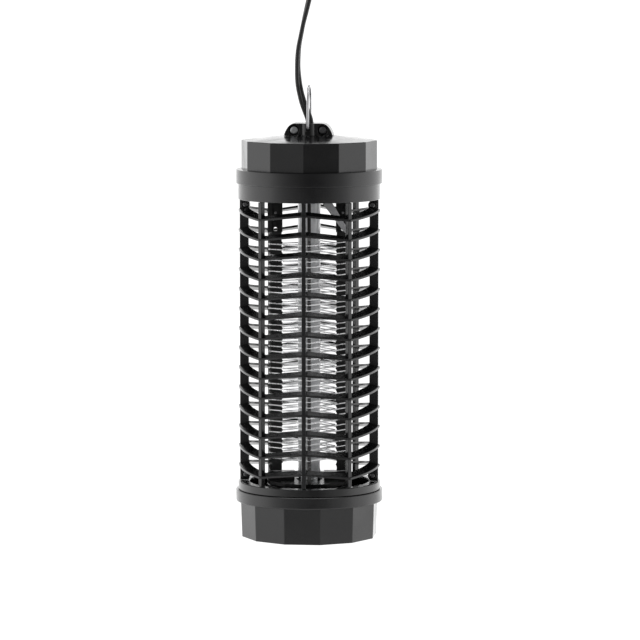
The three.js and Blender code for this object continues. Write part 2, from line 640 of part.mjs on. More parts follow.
function highVoltageLeads() {
  const high = DECK_TOP - 0.5;
  const outer = tube([
    [OUTER_LEAD.x, OUTER_LEAD.y, high], [13.4, -14.5, 241], [18.5, -13.5, 233], [24, -9.4, 225],
    [28.4, -4.2, 218.2],
  ], 1.6, 14);
  const inner = tube([
    [INNER_LEAD.x, INNER_LEAD.y, high], [0, 15, 240], [0, 15.3, 231], [0, 15.8, 223], [0, 16.2, 216.5],
  ], 1.3, 14);
  return [
    meshOf('hv_lead_outer', outer, 'lead_sleeve'),
    meshOf('hv_lead_inner', inner, 'lead_sleeve'),
  ];
}

// Mains cord, from the clamp up to its tied coil, which ends in a plug with two blades

const CORD_ROUTE = [
  [0.4, 0, 296.2], [-0.3, 0, 299.5], [-1.6, 0, 303], [-4.4, 0.3, 310.5], [-6.4, 0.6, 318],
  [-7.6, 0.9, 325], [-8.2, 1.1, 334], [-8.1, 1.3, 342], [-7.4, 1.5, 350], [-5.9, 1.7, 358],
  [-4.1, 2.0, 367], [-2.1, 2.3, 375.5], [0, 2.6, 384.4], [2.4, 2.8, 392.5],
];

function coil() {
  const w = COIL_HALF_WIDTH;
  const chamfer = 2;
  const profile = [
    [COIL_INNER + chamfer, -w], [COIL_OUTER - chamfer, -w], [COIL_OUTER, chamfer - w],
    [COIL_OUTER, w - chamfer], [COIL_OUTER - chamfer, w], [COIL_INNER + chamfer, w],
    [COIL_INNER, w - chamfer], [COIL_INNER, chamfer - w],
  ];
  return turned(profile, 24).rotate([90, 0, 0]).translate(COIL_CENTRE);
}

// The tie is a band round the bundle at the top of the coil.
function coilTie() {
  const [x, y, z] = COIL_CENTRE;
  const middle = z + (COIL_INNER + COIL_OUTER) / 2;
  const deep = (COIL_OUTER - COIL_INNER) / 2;
  const frame = (grow, width) => box(
    [x - width / 2, y - COIL_HALF_WIDTH - grow, middle - deep - grow],
    [x + width / 2, y + COIL_HALF_WIDTH + grow, middle + deep + grow],
  );
  return cut(frame(TIE_THICK + GAP, TIE_WIDTH), [frame(GAP, TIE_WIDTH + 1)]);
}

function plug() {
  const body = PLUG_WIDTH / 2;
  const tail = PLUG_TAIL_WIDTH / 2;
  const outline = new THREE.Shape();
  outline.moveTo(-body, PLUG_FACE_Z);
  outline.lineTo(body, PLUG_FACE_Z);
  outline.lineTo(body, PLUG_SHOULDER_Z);
  outline.lineTo(tail, PLUG_NECK_Z);
  outline.lineTo(tail, PLUG_TOP_Z);
  outline.lineTo(-tail, PLUG_TOP_Z);
  outline.lineTo(-tail, PLUG_NECK_Z);
  outline.lineTo(-body, PLUG_SHOULDER_Z);
  outline.closePath();
  const shape = new THREE.ExtrudeGeometry(outline, { depth: PLUG_DEPTH, bevelEnabled: false });
  shape.rotateX(Math.PI / 2).translate(PLUG_X, PLUG_Y + PLUG_DEPTH / 2, 0);
  const blades = [-1, 1].map((hand) => {
    const x = PLUG_X + (hand * BLADE_SPACING) / 2;
    return box(
      [x - BLADE_THICK / 2, PLUG_Y - BLADE_WIDTH / 2, PLUG_FACE_Z - GAP - BLADE_LENGTH],
      [x + BLADE_THICK / 2, PLUG_Y + BLADE_WIDTH / 2, PLUG_FACE_Z - GAP],
    );
  });
  return [
    meshOf('plug_body', solid(shape), 'cord_rubber'),
    meshOf('plug_blade_left', blades[0], 'brass'),
    meshOf('plug_blade_right', blades[1], 'brass'),
  ];
}

function cord() {
  return [
    meshOf('power_cord', tube(CORD_ROUTE, CORD_WIDTH / 2, 18), 'cord_rubber'),
    meshOf('power_cord_coil', coil(), 'cord_rubber'),
    meshOf('coil_tie', coilTie(), 'black_plastic'),
    ...plug(),
  ];
}

const zapper = new THREE.Group();
zapper.add(
  meshOf('top_cap', topCap(), 'black_plastic'),
  meshOf('head_chassis', headChassis(), 'black_plastic'),
  meshOf('clamp_front', clampHalf(-1), 'black_plastic'),
  meshOf('clamp_back', clampHalf(1), 'black_plastic'),
  meshOf('clamp_screw_left', clampScrew(-1, LEFT_SCREW_FACE), 'steel'),
  meshOf('clamp_screw_right', clampScrew(1, RIGHT_SCREW_FACE), 'dark_steel'),
  meshOf('hanger', hanger(), 'steel'),
  meshOf('base_ring', baseRing(), 'black_plastic'),
  meshOf('collecting_tray', collectingTray(), 'black_plastic'),
  ...deckPosts(),
  ...electronics(),
  ...cageHalves(),
  ...cageScrews(),
  ...lamp(),
  ...grid(),
  ...highVoltageLeads(),
  ...cord(),
);
zapper.position.z = -HANG_Z;

const assembly = new THREE.Group();
assembly.add(zapper);

export default assembly;
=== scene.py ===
"""The looks of the hanging electric bug zapper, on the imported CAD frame.

Sizes below are in millimetres, and heights are measured from the collecting tray's underside, as in the CAD.
Angles round the lamp start at the front rib, which faces -Y, and grow towards +X.
"""
import math
import random

import bmesh
import bpy
from mathutils import Matrix, Vector


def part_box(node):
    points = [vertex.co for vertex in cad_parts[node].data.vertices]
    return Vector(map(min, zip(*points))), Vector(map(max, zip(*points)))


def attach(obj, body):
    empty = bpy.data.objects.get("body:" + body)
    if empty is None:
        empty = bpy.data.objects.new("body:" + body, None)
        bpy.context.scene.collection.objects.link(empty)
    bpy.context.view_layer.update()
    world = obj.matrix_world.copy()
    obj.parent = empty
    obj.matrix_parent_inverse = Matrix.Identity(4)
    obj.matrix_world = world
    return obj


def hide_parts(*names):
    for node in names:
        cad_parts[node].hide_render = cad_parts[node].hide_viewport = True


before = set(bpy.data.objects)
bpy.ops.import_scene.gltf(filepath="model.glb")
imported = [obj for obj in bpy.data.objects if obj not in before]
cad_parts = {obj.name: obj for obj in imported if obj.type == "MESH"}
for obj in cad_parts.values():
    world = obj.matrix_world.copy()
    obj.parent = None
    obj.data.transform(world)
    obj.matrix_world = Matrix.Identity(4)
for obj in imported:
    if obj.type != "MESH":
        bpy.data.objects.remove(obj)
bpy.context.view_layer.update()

MM = 0.001
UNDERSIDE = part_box("collecting_tray")[0].z
TURN = 2 * math.pi

# Body heights and radii
TRAY_SHOULDER = 25.8
TRAY_TOP = 34.1
BASE_TOP = 39.7
HEAD_BOTTOM = 241.9
CAP_BOTTOM = 253.2
CAP_SHOULDER = 263.1
CAP_RIM = 283.6
CAP_TOP = 286.7
TRAY_FOOT_RADIUS = 48.6
TRAY_RADIUS = 49.5
TRAY_BAND_RADIUS = 52.4
TRAY_TURN = 13.4
BASE_RADIUS = 50.7
HEAD_RADIUS = 50.5
CAP_RADIUS = 48.4
CAP_BAND_RADIUS = 52.0
CAP_FLAT_RADIUS = 20.0
SIDES = 12
WALL = 2.2
GAP = 0.3

# Tray lock
LUG_ANGLES = (90, 210, 330)
LUG_WIDTH = 18
SKIRT_RADIUS = 45.2
SKIRT_BOTTOM = 27.4

# Edges that turn by more than this are rounded and shaded as edges
SHARP_ANGLE = math.radians(24)

# Cage
SLAT_COUNT = 14
SLAT_PITCH = 14.05
SLAT_TOP_Z = 228.2
SLAT_OUTER = 50.6
SLAT_INNER = 43.5
SLAT_THICK = 1.6
SLAT_TILT = 2.2
SLAT_RISE_PER_DEGREE = 0.095
VALLEY_ANGLE = 40
SIDE_BOW = 0.7  # how far the side bays' bars go from straight (0) to round (1)
SEAM_FILLET = 1.0
SEAM_HALF_GAP = 0.19
MIDDLE_RIB = (45.6, 49.4, 3.0)
VALLEY_RIB = (45.9, 49.7, 3.0)
SEAM_RIB = (43.2, 49.5, 2.0)
RIM_INNER = 45.0
RIM_OUTER = 48.8
RIM_HEIGHT = 2.8
CAGE_SCREW_X = 45.4
CAGE_SCREW_HEIGHTS = {"lower": 43.8, "upper": 237.7}
CAGE_SCREW_RADIUS = 1.85
CAGE_SCREW_FACE = -3.45
CAGE_LUG_RADIUS = 3.2
CAGE_LUG_HALF = 3.6

# Grid
GRID_TURN = 4.4
POST_INNER = 19.6
POST_OUTER = 27.8
POST_THICK = 2.5
POST_LOW = 41.0
POST_LOW_AT_SIDES = 46.8
POST_HEAD_BOTTOM = 218.0
POST_HEAD_INNER = 19.0
POST_HEAD_OUTER = 29.6
POST_HOLE_RADIUS = 24
POST_EYE_Z = 220.2
POST_EYE_RADIUS = 1.5
POST_HIGH = 243.3
OUTER_TOOTH = 1.3
INNER_TOOTH = 0.7
WIRE_RADIUS = 0.43
WIRE_PITCH = 3.84
WIRE_TURNS = 41
WIRE_START_Z = 54.0
OUTER_WIRE_RADIUS = 29.0
INNER_WIRE_RADIUS = 18.6
WIRE_UNEVEN = 0.16
WIRE_BEND = 2.4  # from a post's corner to where the wire is straight again
OUTER_LEAD_WIDTH = 7.0
INNER_LEAD_WIDTH = 3.4
LEAD_THICK = 1.5
LEAD_NARROWING = 0.55
BLOCK_SCREW_X = 19
BLOCK_SCREW_RADIUS = 1.15

# Lamp
LAMP_RADIUS = 8.0
LAMP_BOTTOM = 37.0
LAMP_TOP = 249.0
LAMP_CAP_LENGTH = 7.5

# Clamp and hanger
CLAMP_HEIGHT = 8.8
CLAMP_HALF_WIDTH = 17.5
CLAMP_TOP_HALF_WIDTH = 9.5
CLAMP_DEPTH = 8.5
CLAMP_BULGE_RADIUS = 5.7
CLAMP_BULGE_FACE = 10.5
CLAMP_SCREW_X = 10.2
CLAMP_SCREW_Z = 290.9
CLAMP_SCREW_RADIUS = 2.75
LEFT_SCREW_FACE = -8.2
RIGHT_SCREW_FACE = -6.9
PIVOT_Z = 291.5
PIVOT_RADIUS = 1.3
HANGER_WIRE_RADIUS = 0.85
HANGER_STEM = ((-6.9, 0), (-9.2, 0), (-11.2, 0.5), (-11.9, 2.5))
HANGER_HALF_WIDTH = 11.9
HANGER_BEND_Z = 309.0
HANGER_TOP_Z = 322.0

# Cord: a flat pair, from the clamp to its tied coil and its plug
CORD_WIDTH = 5.4
CORD_THICK = 3.1
CORD_ROUTE = [
    (0.4, 0, 289.5), (0.4, 0, 293), (0.4, 0, 296.2), (-0.3, 0, 299.5), (-1.6, 0, 303),
    (-4.4, 0.3, 310.5), (-6.4, 0.6, 318), (-7.6, 0.9, 325), (-8.2, 1.1, 334), (-8.1, 1.3, 342),
    (-7.4, 1.5, 350), (-5.9, 1.7, 358), (-4.1, 2.0, 367), (-2.1, 2.3, 375.5), (0, 2.6, 384.4),
]
CORD_STEP = 2.5

# How far the cord's wide side has turned from X towards Y, in degrees, at lengths from the cord's lower
# end, and then at lengths before its upper end
CORD_TWIST = ((0, 0), (14, 6), (30, 40), (50, 74), (69, 90), (96, 112), (124, 90))
CORD_TWIST_AT_PLUG = ((64, 90), (12, 180))

# The bend that takes the cord into its coil: its radius, and its headings from upright towards +X
JOINING_RADIUS = 21.8
JOINING_HEADINGS = (13.5, 66.0)
JOINING_STEPS = 8

# The coil: three layers inwards at the back, and three outwards at the front
COIL_CENTRE = (-2.0, 0.0, 431.5)
COIL_OUTER_TURN = 35.7
COIL_LAYERS = 3
COIL_LAYER = 3.4
COIL_COLUMN_Y = 2.8
COIL_CROSSING = 0.25
COIL_START_ANGLE = -66.0
COIL_END_ANGLE = 120.0
COIL_STEPS_PER_TURN = 40

# The last part of the coil moves forwards by this much, between these angles, to clear it for the plug
PLUG_SHIFT = 8.6
PLUG_SHIFT_ANGLES = (50, 122)
PLUG_X = -33.0
PLUG_Y = -13.3
PLUG_FACE_Z = 409.0
PLUG_TOP_Z = 441.0
PLUG_LEAD = ((-27.0, -12.2, 457.2), (-31.2, -13.1, 450.0), (PLUG_X, PLUG_Y, 442.0), (PLUG_X, PLUG_Y, 434.0))
BLADE_LENGTH = 17
BLADE_X = 6.35
BLADE_HALF_WIDTH = 3.15
BLADE_THICK = 1.5

# The tie round the coil's top
TIE_HEIGHT = 30.75
TIE_HALF_Y = 6.35
TIE_HALF_Z = 7.9

# Camera: angles round and above the lamp, distance in metres, and what it aims at
CAMERA_AZIMUTH = 4.4
CAMERA_ELEVATION = 5.8
CAMERA_DISTANCE = 2.82
CAMERA_LENS = 222.2
CAMERA_AIM_Z = 155.05
CAMERA_AIM_RIGHT = 7.7

# Studio
DARK_SIDE = 8  # the direction from which the studio is darkest
FLOOR_DEPTH = 0.9
FLOOR_HALF = 4


def at(x, y, z):
    """A place in millimetres above the tray's underside, as a point of the row frame in metres."""
    return Vector((x * MM, y * MM, UNDERSIDE + z * MM))


def round_at(radius, degrees, z=0.0):
    """A place at an angle round the lamp's axis, in millimetres."""
    angle = math.radians(degrees)
    return (radius * math.sin(angle), -radius * math.cos(angle), z)


# Materials


class Shader:
    """A material with one principled shader, and the few nodes that vary it."""

    def __init__(self, name, colour, roughness, metallic=0.0):
        self.material = bpy.data.materials.new(name)
        self.material.use_nodes = True
        self.nodes = self.material.node_tree.nodes
        self.links = self.material.node_tree.links
        self.shader = self.nodes["Principled BSDF"]
        self.set("Base Color", (*colour, 1))
        self.set("Roughness", roughness)
        self.set("Metallic", metallic)
        self.place = self.nodes.new("ShaderNodeTexCoord").outputs["Object"]

    def set(self, socket, value):
        self.shader.inputs[socket].default_value = value

    def noise(self, scale, detail=3.0, stretch=(1, 1, 1)):
        """Noise with features about 1 / scale metres across, stretched along an axis by a small factor."""
        mapping = self.nodes.new("ShaderNodeMapping")
        mapping.inputs["Scale"].default_value = stretch
        texture = self.nodes.new("ShaderNodeTexNoise")
        texture.inputs["Scale"].default_value = scale
        texture.inputs["Detail"].default_value = detail
        self.links.new(self.place, mapping.inputs["Vector"])
        self.links.new(mapping.outputs["Vector"], texture.inputs["Vector"])
        return texture.outputs["Fac"]

    def spread(self, value, low, high, start=0.3, end=0.7):
        """A number that goes from low to high as value goes from start to end."""
        node = self.nodes.new("ShaderNodeMapRange")
        node.inputs["From Min"].default_value = start
        node.inputs["From Max"].default_value = end
        node.inputs["To Min"].default_value = low
        node.inputs["To Max"].default_value = high
        self.links.new(value, node.inputs["Value"])
        return node.outputs["Result"]

    def blend(self, value, first, second):
        """A colour between first and second."""
        node = self.nodes.new("ShaderNodeMix")
        node.data_type = "RGBA"
        node.inputs["A"].default_value = (*first, 1)
        node.inputs["B"].default_value = (*second, 1)
        self.links.new(value, node.inputs["Factor"])
        return node.outputs["Result"]

    def colour_from(self, socket):
        self.links.new(socket, self.shader.inputs["Base Color"])

    def roughness_from(self, socket):
        self.links.new(socket, self.shader.inputs["Roughness"])

    def bump(self, height, strength, depth_mm):
        node = self.nodes.new("ShaderNodeBump")
        node.inputs["Strength"].default_value = strength
        node.inputs["Distance"].default_value = depth_mm * MM
        self.links.new(height, node.inputs["Height"])
        self.links.new(node.outputs["Normal"], self.shader.inputs["Normal"])


def moulded_plastic(name, colour, edge_highlight, roughness, grain=2600.0):
    """Moulded plastic: fine sparked grain, uneven gloss, and a painted highlight that makes its edges a
    little lighter.
    """
    made = Shader(name, colour, roughness)
    made.roughness_from(made.spread(made.noise(70.0), roughness - 0.05, roughness + 0.06))
    # Painted highlight: edges, found by their pointiness, are painted in the second, lighter colour
    edges = made.spread(made.nodes.new("ShaderNodeNewGeometry").outputs["Pointiness"], 0, 1, 0.53, 0.62)
    made.colour_from(made.blend(edges, colour, edge_highlight))
    made.bump(made.noise(grain, 2.0), 0.25, 0.02)
    return made.material


def drawn_metal(name, colour, dull, roughness, along=(1, 1, 1), scale=900.0):
    """Drawn or rolled metal: streaks along the part and patches where the finish is duller."""
    made = Shader(name, colour, roughness, 1.0)
    made.colour_from(made.blend(made.spread(made.noise(160.0), 0, 1), colour, dull))
    streaks = made.noise(scale, 3.0, along)
    made.roughness_from(made.spread(streaks, roughness - 0.07, roughness + 0.1))
    made.bump(streaks, 0.06, 0.005)
    return made.material


def lamp_glass():
    made = Shader("lamp_glass", (0.62, 0.625, 0.64), 0.16)
    made.set("Coat Weight", 0.6)
    made.set("Coat Roughness", 0.04)
    powder = made.noise(420.0, 5.0)
    made.colour_from(made.blend(made.spread(powder, 0, 1), (0.58, 0.585, 0.6), (0.66, 0.665, 0.68)))
    made.roughness_from(made.spread(powder, 0.13, 0.22))
    return made.material


def woven_sleeve():
    made = Shader("lead_sleeve", (0.36, 0.36, 0.37), 0.62)
    weave = made.nodes.new("ShaderNodeTexWave")
    weave.inputs["Scale"].default_value = 520.0
    weave.inputs["Distortion"].default_value = 3.0
    made.links.new(made.place, weave.inputs["Vector"])
    threads = weave.outputs["Fac"]
    made.colour_from(made.blend(threads, (0.26, 0.26, 0.27), (0.46, 0.46, 0.47)))
    made.bump(threads, 0.5, 0.15)
    made.set("Sheen Weight", 0.2)
    return made.material


def laminate():
    made = Shader("board", (0.03, 0.11, 0.04), 0.35)
    patches = made.spread(made.noise(900.0), 0, 1)
    made.colour_from(made.blend(patches, (0.025, 0.09, 0.035), (0.04, 0.13, 0.05)))
    made.bump(made.noise(1500.0), 0.2, 0.02)
    return made.material


def grey(level):
    return (level, level, level)


def make_materials():
    wire = {"along": (1, 1, 0.1), "scale": 300.0}
    # Each plastic's second colour is its painted edge highlight, lighter than its own colour
    return {
        "black_plastic": moulded_plastic(
            "black_plastic", (0.0036, 0.0036, 0.0039), (0.016, 0.016, 0.017), 0.2),
        "grid_plastic": moulded_plastic("grid_plastic", grey(0.0036), grey(0.012), 0.3),
        "cord_rubber": moulded_plastic("cord_rubber", (0.006, 0.006, 0.0062), grey(0.012), 0.42, 1500.0),
        "holder_plastic": moulded_plastic("holder_plastic", (0.6, 0.59, 0.55), (0.7, 0.69, 0.66), 0.45),
        "component": moulded_plastic("component", (0.28, 0.05, 0.03), (0.36, 0.09, 0.06), 0.3, 1200.0),
        "steel": drawn_metal("steel", (0.74, 0.75, 0.76), (0.66, 0.67, 0.68), 0.3, (1, 1, 0.1), 500.0),
        "wire_steel": drawn_metal("wire_steel", (0.96, 0.96, 0.97), (0.9, 0.9, 0.91), 0.3, **wire),
        "hanger_steel": drawn_metal("hanger_steel", (0.55, 0.55, 0.56), (0.47, 0.47, 0.48), 0.3, **wire),
        "dark_steel": drawn_metal("dark_steel", (0.26, 0.26, 0.265), (0.19, 0.19, 0.195), 0.3),
        "lamp_metal": drawn_metal("lamp_metal", (0.8, 0.81, 0.82), (0.68, 0.69, 0.7), 0.18, (1, 1, 0.15)),
        "brass": drawn_metal("brass", (0.72, 0.56, 0.3), (0.6, 0.45, 0.22), 0.26, (1, 1, 0.1)),
        "lamp_glass": lamp_glass(),
        "lead_sleeve": woven_sleeve(),
        "board": laminate(),
    }


MATERIALS = make_materials()


# Shells: each is (points, faces) in millimetres, and a piece may be made of several


def ring_faces(rings, count, closed):
    """Faces of a skin over rings of count points, which is closed on its first ring or has end faces."""
    faces = []
    spans = rings if closed else rings - 1
    for ring in range(spans):
        low = ring * count
        high = ((ring + 1) % rings) * count
        for k in range(count):
            after = (k + 1) % count
            faces.append((low + k, low + after, high + after, high + k))
    if not closed:
        faces.append(tuple(range(count - 1, -1, -1)))
        faces.append(tuple(range((rings - 1) * count, rings * count)))
    return faces


def skin(loops, closed=False):
    return [p for loop in loops for p in loop], ring_faces(len(loops), len(loops[0]), closed)


def lathe(profile, sides=144, start=0.0):
    """A turned shell. A profile that starts and ends at radius 0 is closed there, and any other by itself."""
    to_axis = profile[0][0] == 0 and profile[-1][0] == 0
    body = profile[1:-1] if to_axis else profile
    loops = []
    for k in range(sides):
        degrees = start + 360.0 * k / sides
        loops.append([round_at(r, degrees, z) for r, z in body])
    count = len(body)
    points = [p for loop in loops for p in loop]
    faces = []
    for k in range(sides):
        low = k * count
        high = ((k + 1) % sides) * count
        for j in range(count if not to_axis else count - 1):
            after = (j + 1) % count
            faces.append((low + j, low + after, high + after, high + j))
    if to_axis:
        for pole, j in ((profile[0][1], 0), (profile[-1][1], count - 1)):
            points.append((0, 0, pole))
            faces += [(len(points) - 1, k * count + j, ((k + 1) % sides) * count + j) for k in range(sides)]
    return points, faces


def block(low, high):
    (x0, y0, z0), (x1, y1, z1) = low, high
    return skin([[(x0, y0, z), (x1, y0, z), (x1, y1, z), (x0, y1, z)] for z in (z0, z1)])


def plate(inner, outer, thickness, low, high, degrees):
    """A radial plate that stands at an angle round the axis."""
    points, faces = block((-thickness / 2, -outer, low), (thickness / 2, -inner, high))
    return turned_about_axis(points, degrees), faces


def turned_about_axis(points, degrees):
    turn = Matrix.Rotation(math.radians(degrees), 3, "Z")
    return [tuple(turn @ Vector(p)) for p in points]


def spindle(profile, centre, sides=32):
    """A turned shell whose axis runs along -Y from a centre, from (radius, distance forward) points."""
    points, faces = lathe(profile, sides)
    x, y, z = centre
    return [(x + p[0], y - p[2], z + p[1]) for p in points], faces


def outline_along_y(outline, y0, y1):
    """A flat outline of (x, z) points, made solid between two places on Y."""
    return skin([[(x, y, z) for x, z in outline] for y in (y0, y1)])


def swept(path, section, wide_axis):
    """A shell along a path. wide_axis(index, tangent) is the section's own X at each point of the path."""
    loops = []
    for i, here in enumerate(path):
        before = Vector(path[max(i - 1, 0)])
        after = Vector(path[min(i + 1, len(path) - 1)])
        tangent = (after - before).normalized()
        wide = wide_axis(i, tangent)
        wide = (wide - tangent * wide.dot(tangent)).normalized()
        thin = tangent.cross(wide)
        loops.append([tuple(Vector(here) + wide * u + thin * v) for u, v in section])
    return skin(loops)


def circle(radius, count):
    return [(radius * math.cos(TURN * k / count), radius * math.sin(TURN * k / count)) for k in range(count)]


def superellipse(width, depth, count=32, power=3.2):
    points = []
    for k in range(count):
        angle = TURN * k / count
        c, s = math.cos(angle), math.sin(angle)
        points.append((
            width / 2 * math.copysign(abs(c) ** (2 / power), c),
            depth / 2 * math.copysign(abs(s) ** (2 / power), s),
        ))
    return points


def ease(share):
    """From 0 to 1, slow at both ends."""
    share = min(max(share, 0), 1)
    return share * share * (3 - 2 * share)


def smooth_path(points, step, lead_in=0):
    """Points every step millimetres, or a little less, along a smooth curve through the given ones.

    The first lead_in spans only give the curve its direction, and aren't part of the path.
    """
    given = [Vector(p) for p in points]
    given = [2 * given[0] - given[1]] + given + [2 * given[-1] - given[-2]]
    path = []
    for i in range(1 + lead_in, len(given) - 2):
        a, b, c, d = given[i - 1:i + 3]
        count = max(1, math.ceil((c - b).length / step))
        for k in range(count):
            t = k / count
            path.append(0.5 * (2 * b + (c - a) * t + (2 * a - 5 * b + 4 * c - d) * t ** 2
                               + (3 * b - a - 3 * c + d) * t ** 3))
    path.append(given[-2])
    return [tuple(p) for p in path]


# Pieces


def solid_mesh(name, points, faces):
    """A mesh in the row frame, with its faces turned outwards."""
    mesh = bpy.data.meshes.new(name)
    mesh.from_pydata([at(*p) for p in points], [], faces)
    editing = bmesh.new()
    editing.from_mesh(mesh)
    bmesh.ops.recalc_face_normals(editing, faces=editing.faces)
    editing.to_mesh(mesh)
    editing.free()
    return mesh


def piece(name, shells, slot, body="lamp_body", stands_for=(), bevel=0.0, segments=2, material=None):
    """A piece of the object, made of closed shells, with its edges rounded by bevel millimetres."""
    points, faces = [], []
    for shell_points, shell_faces in shells:
        first = len(points)
        points += shell_points
        faces += [tuple(first + k for k in face) for face in shell_faces]
    mesh = solid_mesh(name, points, faces)
    obj = bpy.data.objects.new(name, mesh)
    bpy.context.scene.collection.objects.link(obj)
    mesh.materials.append(material or MATERIALS[slot])
    finish_edges(obj, bevel, segments)
    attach(obj, body)
    if stands_for:
        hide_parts(*stands_for)
    return obj


def finish_edges(obj, bevel, segments=2):
    obj.data.shade_smooth()
    obj.data.set_sharp_from_angle(angle=SHARP_ANGLE)
    if bevel:
        round_edges(obj, bevel, segments)


def round_edges(obj, bevel, segments):
    modifier = obj.modifiers.new("edges", "BEVEL")
    modifier.width = bevel * MM
    modifier.segments = segments
    modifier.limit_method = "ANGLE"
    modifier.angle_limit = SHARP_ANGLE
    modifier.harden_normals = True


def carve(obj, shells, bevel=0.0):
    """Cuts shells out of a piece, then rounds its old and new edges."""
    obj.modifiers.clear()
    cutters = []
    for points, faces in shells:
        cutter = bpy.data.objects.new("cutter", solid_mesh("cutter", points, faces))
        bpy.context.scene.collection.objects.link(cutter)
        cutters.append(cutter)
        modifier = obj.modifiers.new("carve", "BOOLEAN")
        modifier.operation = "DIFFERENCE"
        modifier.solver = "EXACT"
        modifier.object = cutter
    seen = obj.evaluated_get(bpy.context.evaluated_depsgraph_get())
    carved = bpy.data.meshes.new_from_object(seen)
    obj.modifiers.clear()
    obj.data = carved
    for cutter in cutters:
        bpy.data.objects.remove(cutter)
    finish_edges(obj, bevel)
    return obj


def dress(node, slot, bevel):
    """A CAD node that keeps its own shape: a procedural material and rounded edges."""
    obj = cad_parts[node]
    obj.data.materials.clear()
    obj.data.materials.append(MATERIALS[slot])
    round_edges(obj, bevel, 2)


# The camera


def make_camera():
    azimuth, elevation = math.radians(CAMERA_AZIMUTH), math.radians(CAMERA_ELEVATION)
    level = math.cos(elevation)
    back = Vector((math.sin(azimuth) * level, -math.cos(azimuth) * level, math.sin(elevation)))
    right = Vector((math.cos(azimuth), math.sin(azimuth), 0))
    aim = at(0, 0, CAMERA_AIM_Z) + right * CAMERA_AIM_RIGHT * MM
    data = bpy.data.cameras.new("camera")
    data.lens = CAMERA_LENS
    data.sensor_width = 36
    data.clip_start = 0.1
    data.clip_end = 100
    camera = bpy.data.objects.new("camera", data)
    bpy.context.scene.collection.objects.link(camera)
    camera.location = aim + back * CAMERA_DISTANCE
    camera.rotation_mode = "QUATERNION"
    camera.rotation_quaternion = (-back).to_track_quat("-Z", "Y")
    bpy.context.scene.camera = camera


# The cord


def coil_place(turns):
    """Where the cord's middle is after so many turns of the coil: inwards behind, then outwards in front."""
    inner = COIL_OUTER_TURN - COIL_LAYERS * COIL_LAYER
    crossed = COIL_LAYERS + COIL_CROSSING
    if turns <= COIL_LAYERS:
        radius = COIL_OUTER_TURN - COIL_LAYER * turns
    else:
        radius = inner + COIL_LAYER * max(turns - crossed, 0)
    degrees = COIL_START_ANGLE + 360 * turns
    shift_from, shift_to = PLUG_SHIFT_ANGLES
    shifted = (degrees - 360 * 2 * COIL_LAYERS - shift_from) / (shift_to - shift_from)
    x, y, z = COIL_CENTRE
    y += COIL_COLUMN_Y * (1 - 2 * ease((turns - COIL_LAYERS) / COIL_CROSSING)) - PLUG_SHIFT * ease(shifted)
    angle = math.radians(degrees)
    return (x + radius * math.cos(angle), y, z + radius * math.sin(angle))


def joining_bend():
    """The bend from the top of the hanging stretch to the start of the coil."""
    first, last = [math.radians(heading) for heading in JOINING_HEADINGS]
    x, y, z = CORD_ROUTE[-1]
    points = []
    for k in range(1, JOINING_STEPS):
        share = k / JOINING_STEPS
        heading = first + (last - first) * share
        points.append((
            x + JOINING_RADIUS * (math.cos(first) - math.cos(heading)),
            y + (COIL_COLUMN_Y - y) * share,
            z + JOINING_RADIUS * (math.sin(heading) - math.sin(first)),
        ))
    return points


def cord_path():
    """The cord's middle line, from inside the clamp to inside the plug."""
    end_turns = 2 * COIL_LAYERS + (COIL_END_ANGLE - COIL_START_ANGLE) / 360
    steps = round(end_turns * COIL_STEPS_PER_TURN)
    wound = [coil_place(end_turns * k / steps) for k in range(steps + 1)]
    ending = smooth_path([*wound[-2:], *PLUG_LEAD], CORD_STEP, lead_in=1)
    return smooth_path(CORD_ROUTE, CORD_STEP) + joining_bend() + wound + ending[1:]


def along(path):
    """How far along the path each point is."""
    done = [0.0]
    for a, b in zip(path, path[1:]):
        done.append(done[-1] + (Vector(b) - Vector(a)).length)
    return done


def cord_section():
    """Two round cores side by side, with the valley between them filled in a little."""
    radius = CORD_THICK / 2
    centre = CORD_WIDTH / 2 - radius
    section = []
    for k in range(24):
        angle = TURN * k / 24
        side = abs(math.cos(angle))
        reach = centre * side + math.sqrt(radius ** 2 - (centre * math.sin(angle)) ** 2)
        section.append((reach * math.cos(angle), reach * math.sin(angle)))
    return section


def make_cord():
    path = cord_path()
    done = along(path)
    length = done[-1]
    twist = [*CORD_TWIST, *((length - before, degrees) for before, degrees in CORD_TWIST_AT_PLUG)]

    def wide_axis(i, tangent):
        degrees = twist[-1][1]
        for (s0, d0), (s1, d1) in zip(twist, twist[1:]):
            if done[i] <= s1:
                degrees = d0 + (d1 - d0) * ease((done[i] - s0) / (s1 - s0))
                break
        angle = math.radians(degrees)
        return Vector((math.cos(angle), math.sin(angle), 0))

    cord = piece(
        "power_cord_flex", [swept(path, cord_section(), wide_axis)], "cord_rubber",
        stands_for=("power_cord", "power_cord_coil"))
    return cord, [at(*p) for p in path], length * MM


def plug_sections():
    """The plug's height above its face, width and depth: a waisted grip, then a ribbed tail."""
    sections = [
        (0, 22.6, 12.6), (0.5, 23.6, 13.6), (2, 24, 14), (5, 23.6, 13.4), (8, 23.0, 12.2), (11, 23.0, 12.0),
        (14, 22.6, 12.4), (16.5, 20.4, 12.4), (19, 15.4, 10.4), (21.4, 10.6, 8.0), (22.2, 9.2, 6.8),
    ]
    for k in range(6):
        low = 23 + 1.5 * k
        rib = 8.0 - 0.12 * k
        sections += [(low, 7.6, 5.6), (low + 0.15, rib, 6.0), (low + 0.75, rib, 6.0), (low + 0.9, 7.4, 5.4)]
    return [*sections, (PLUG_TOP_Z - PLUG_FACE_Z, 7.0, 5.0)]


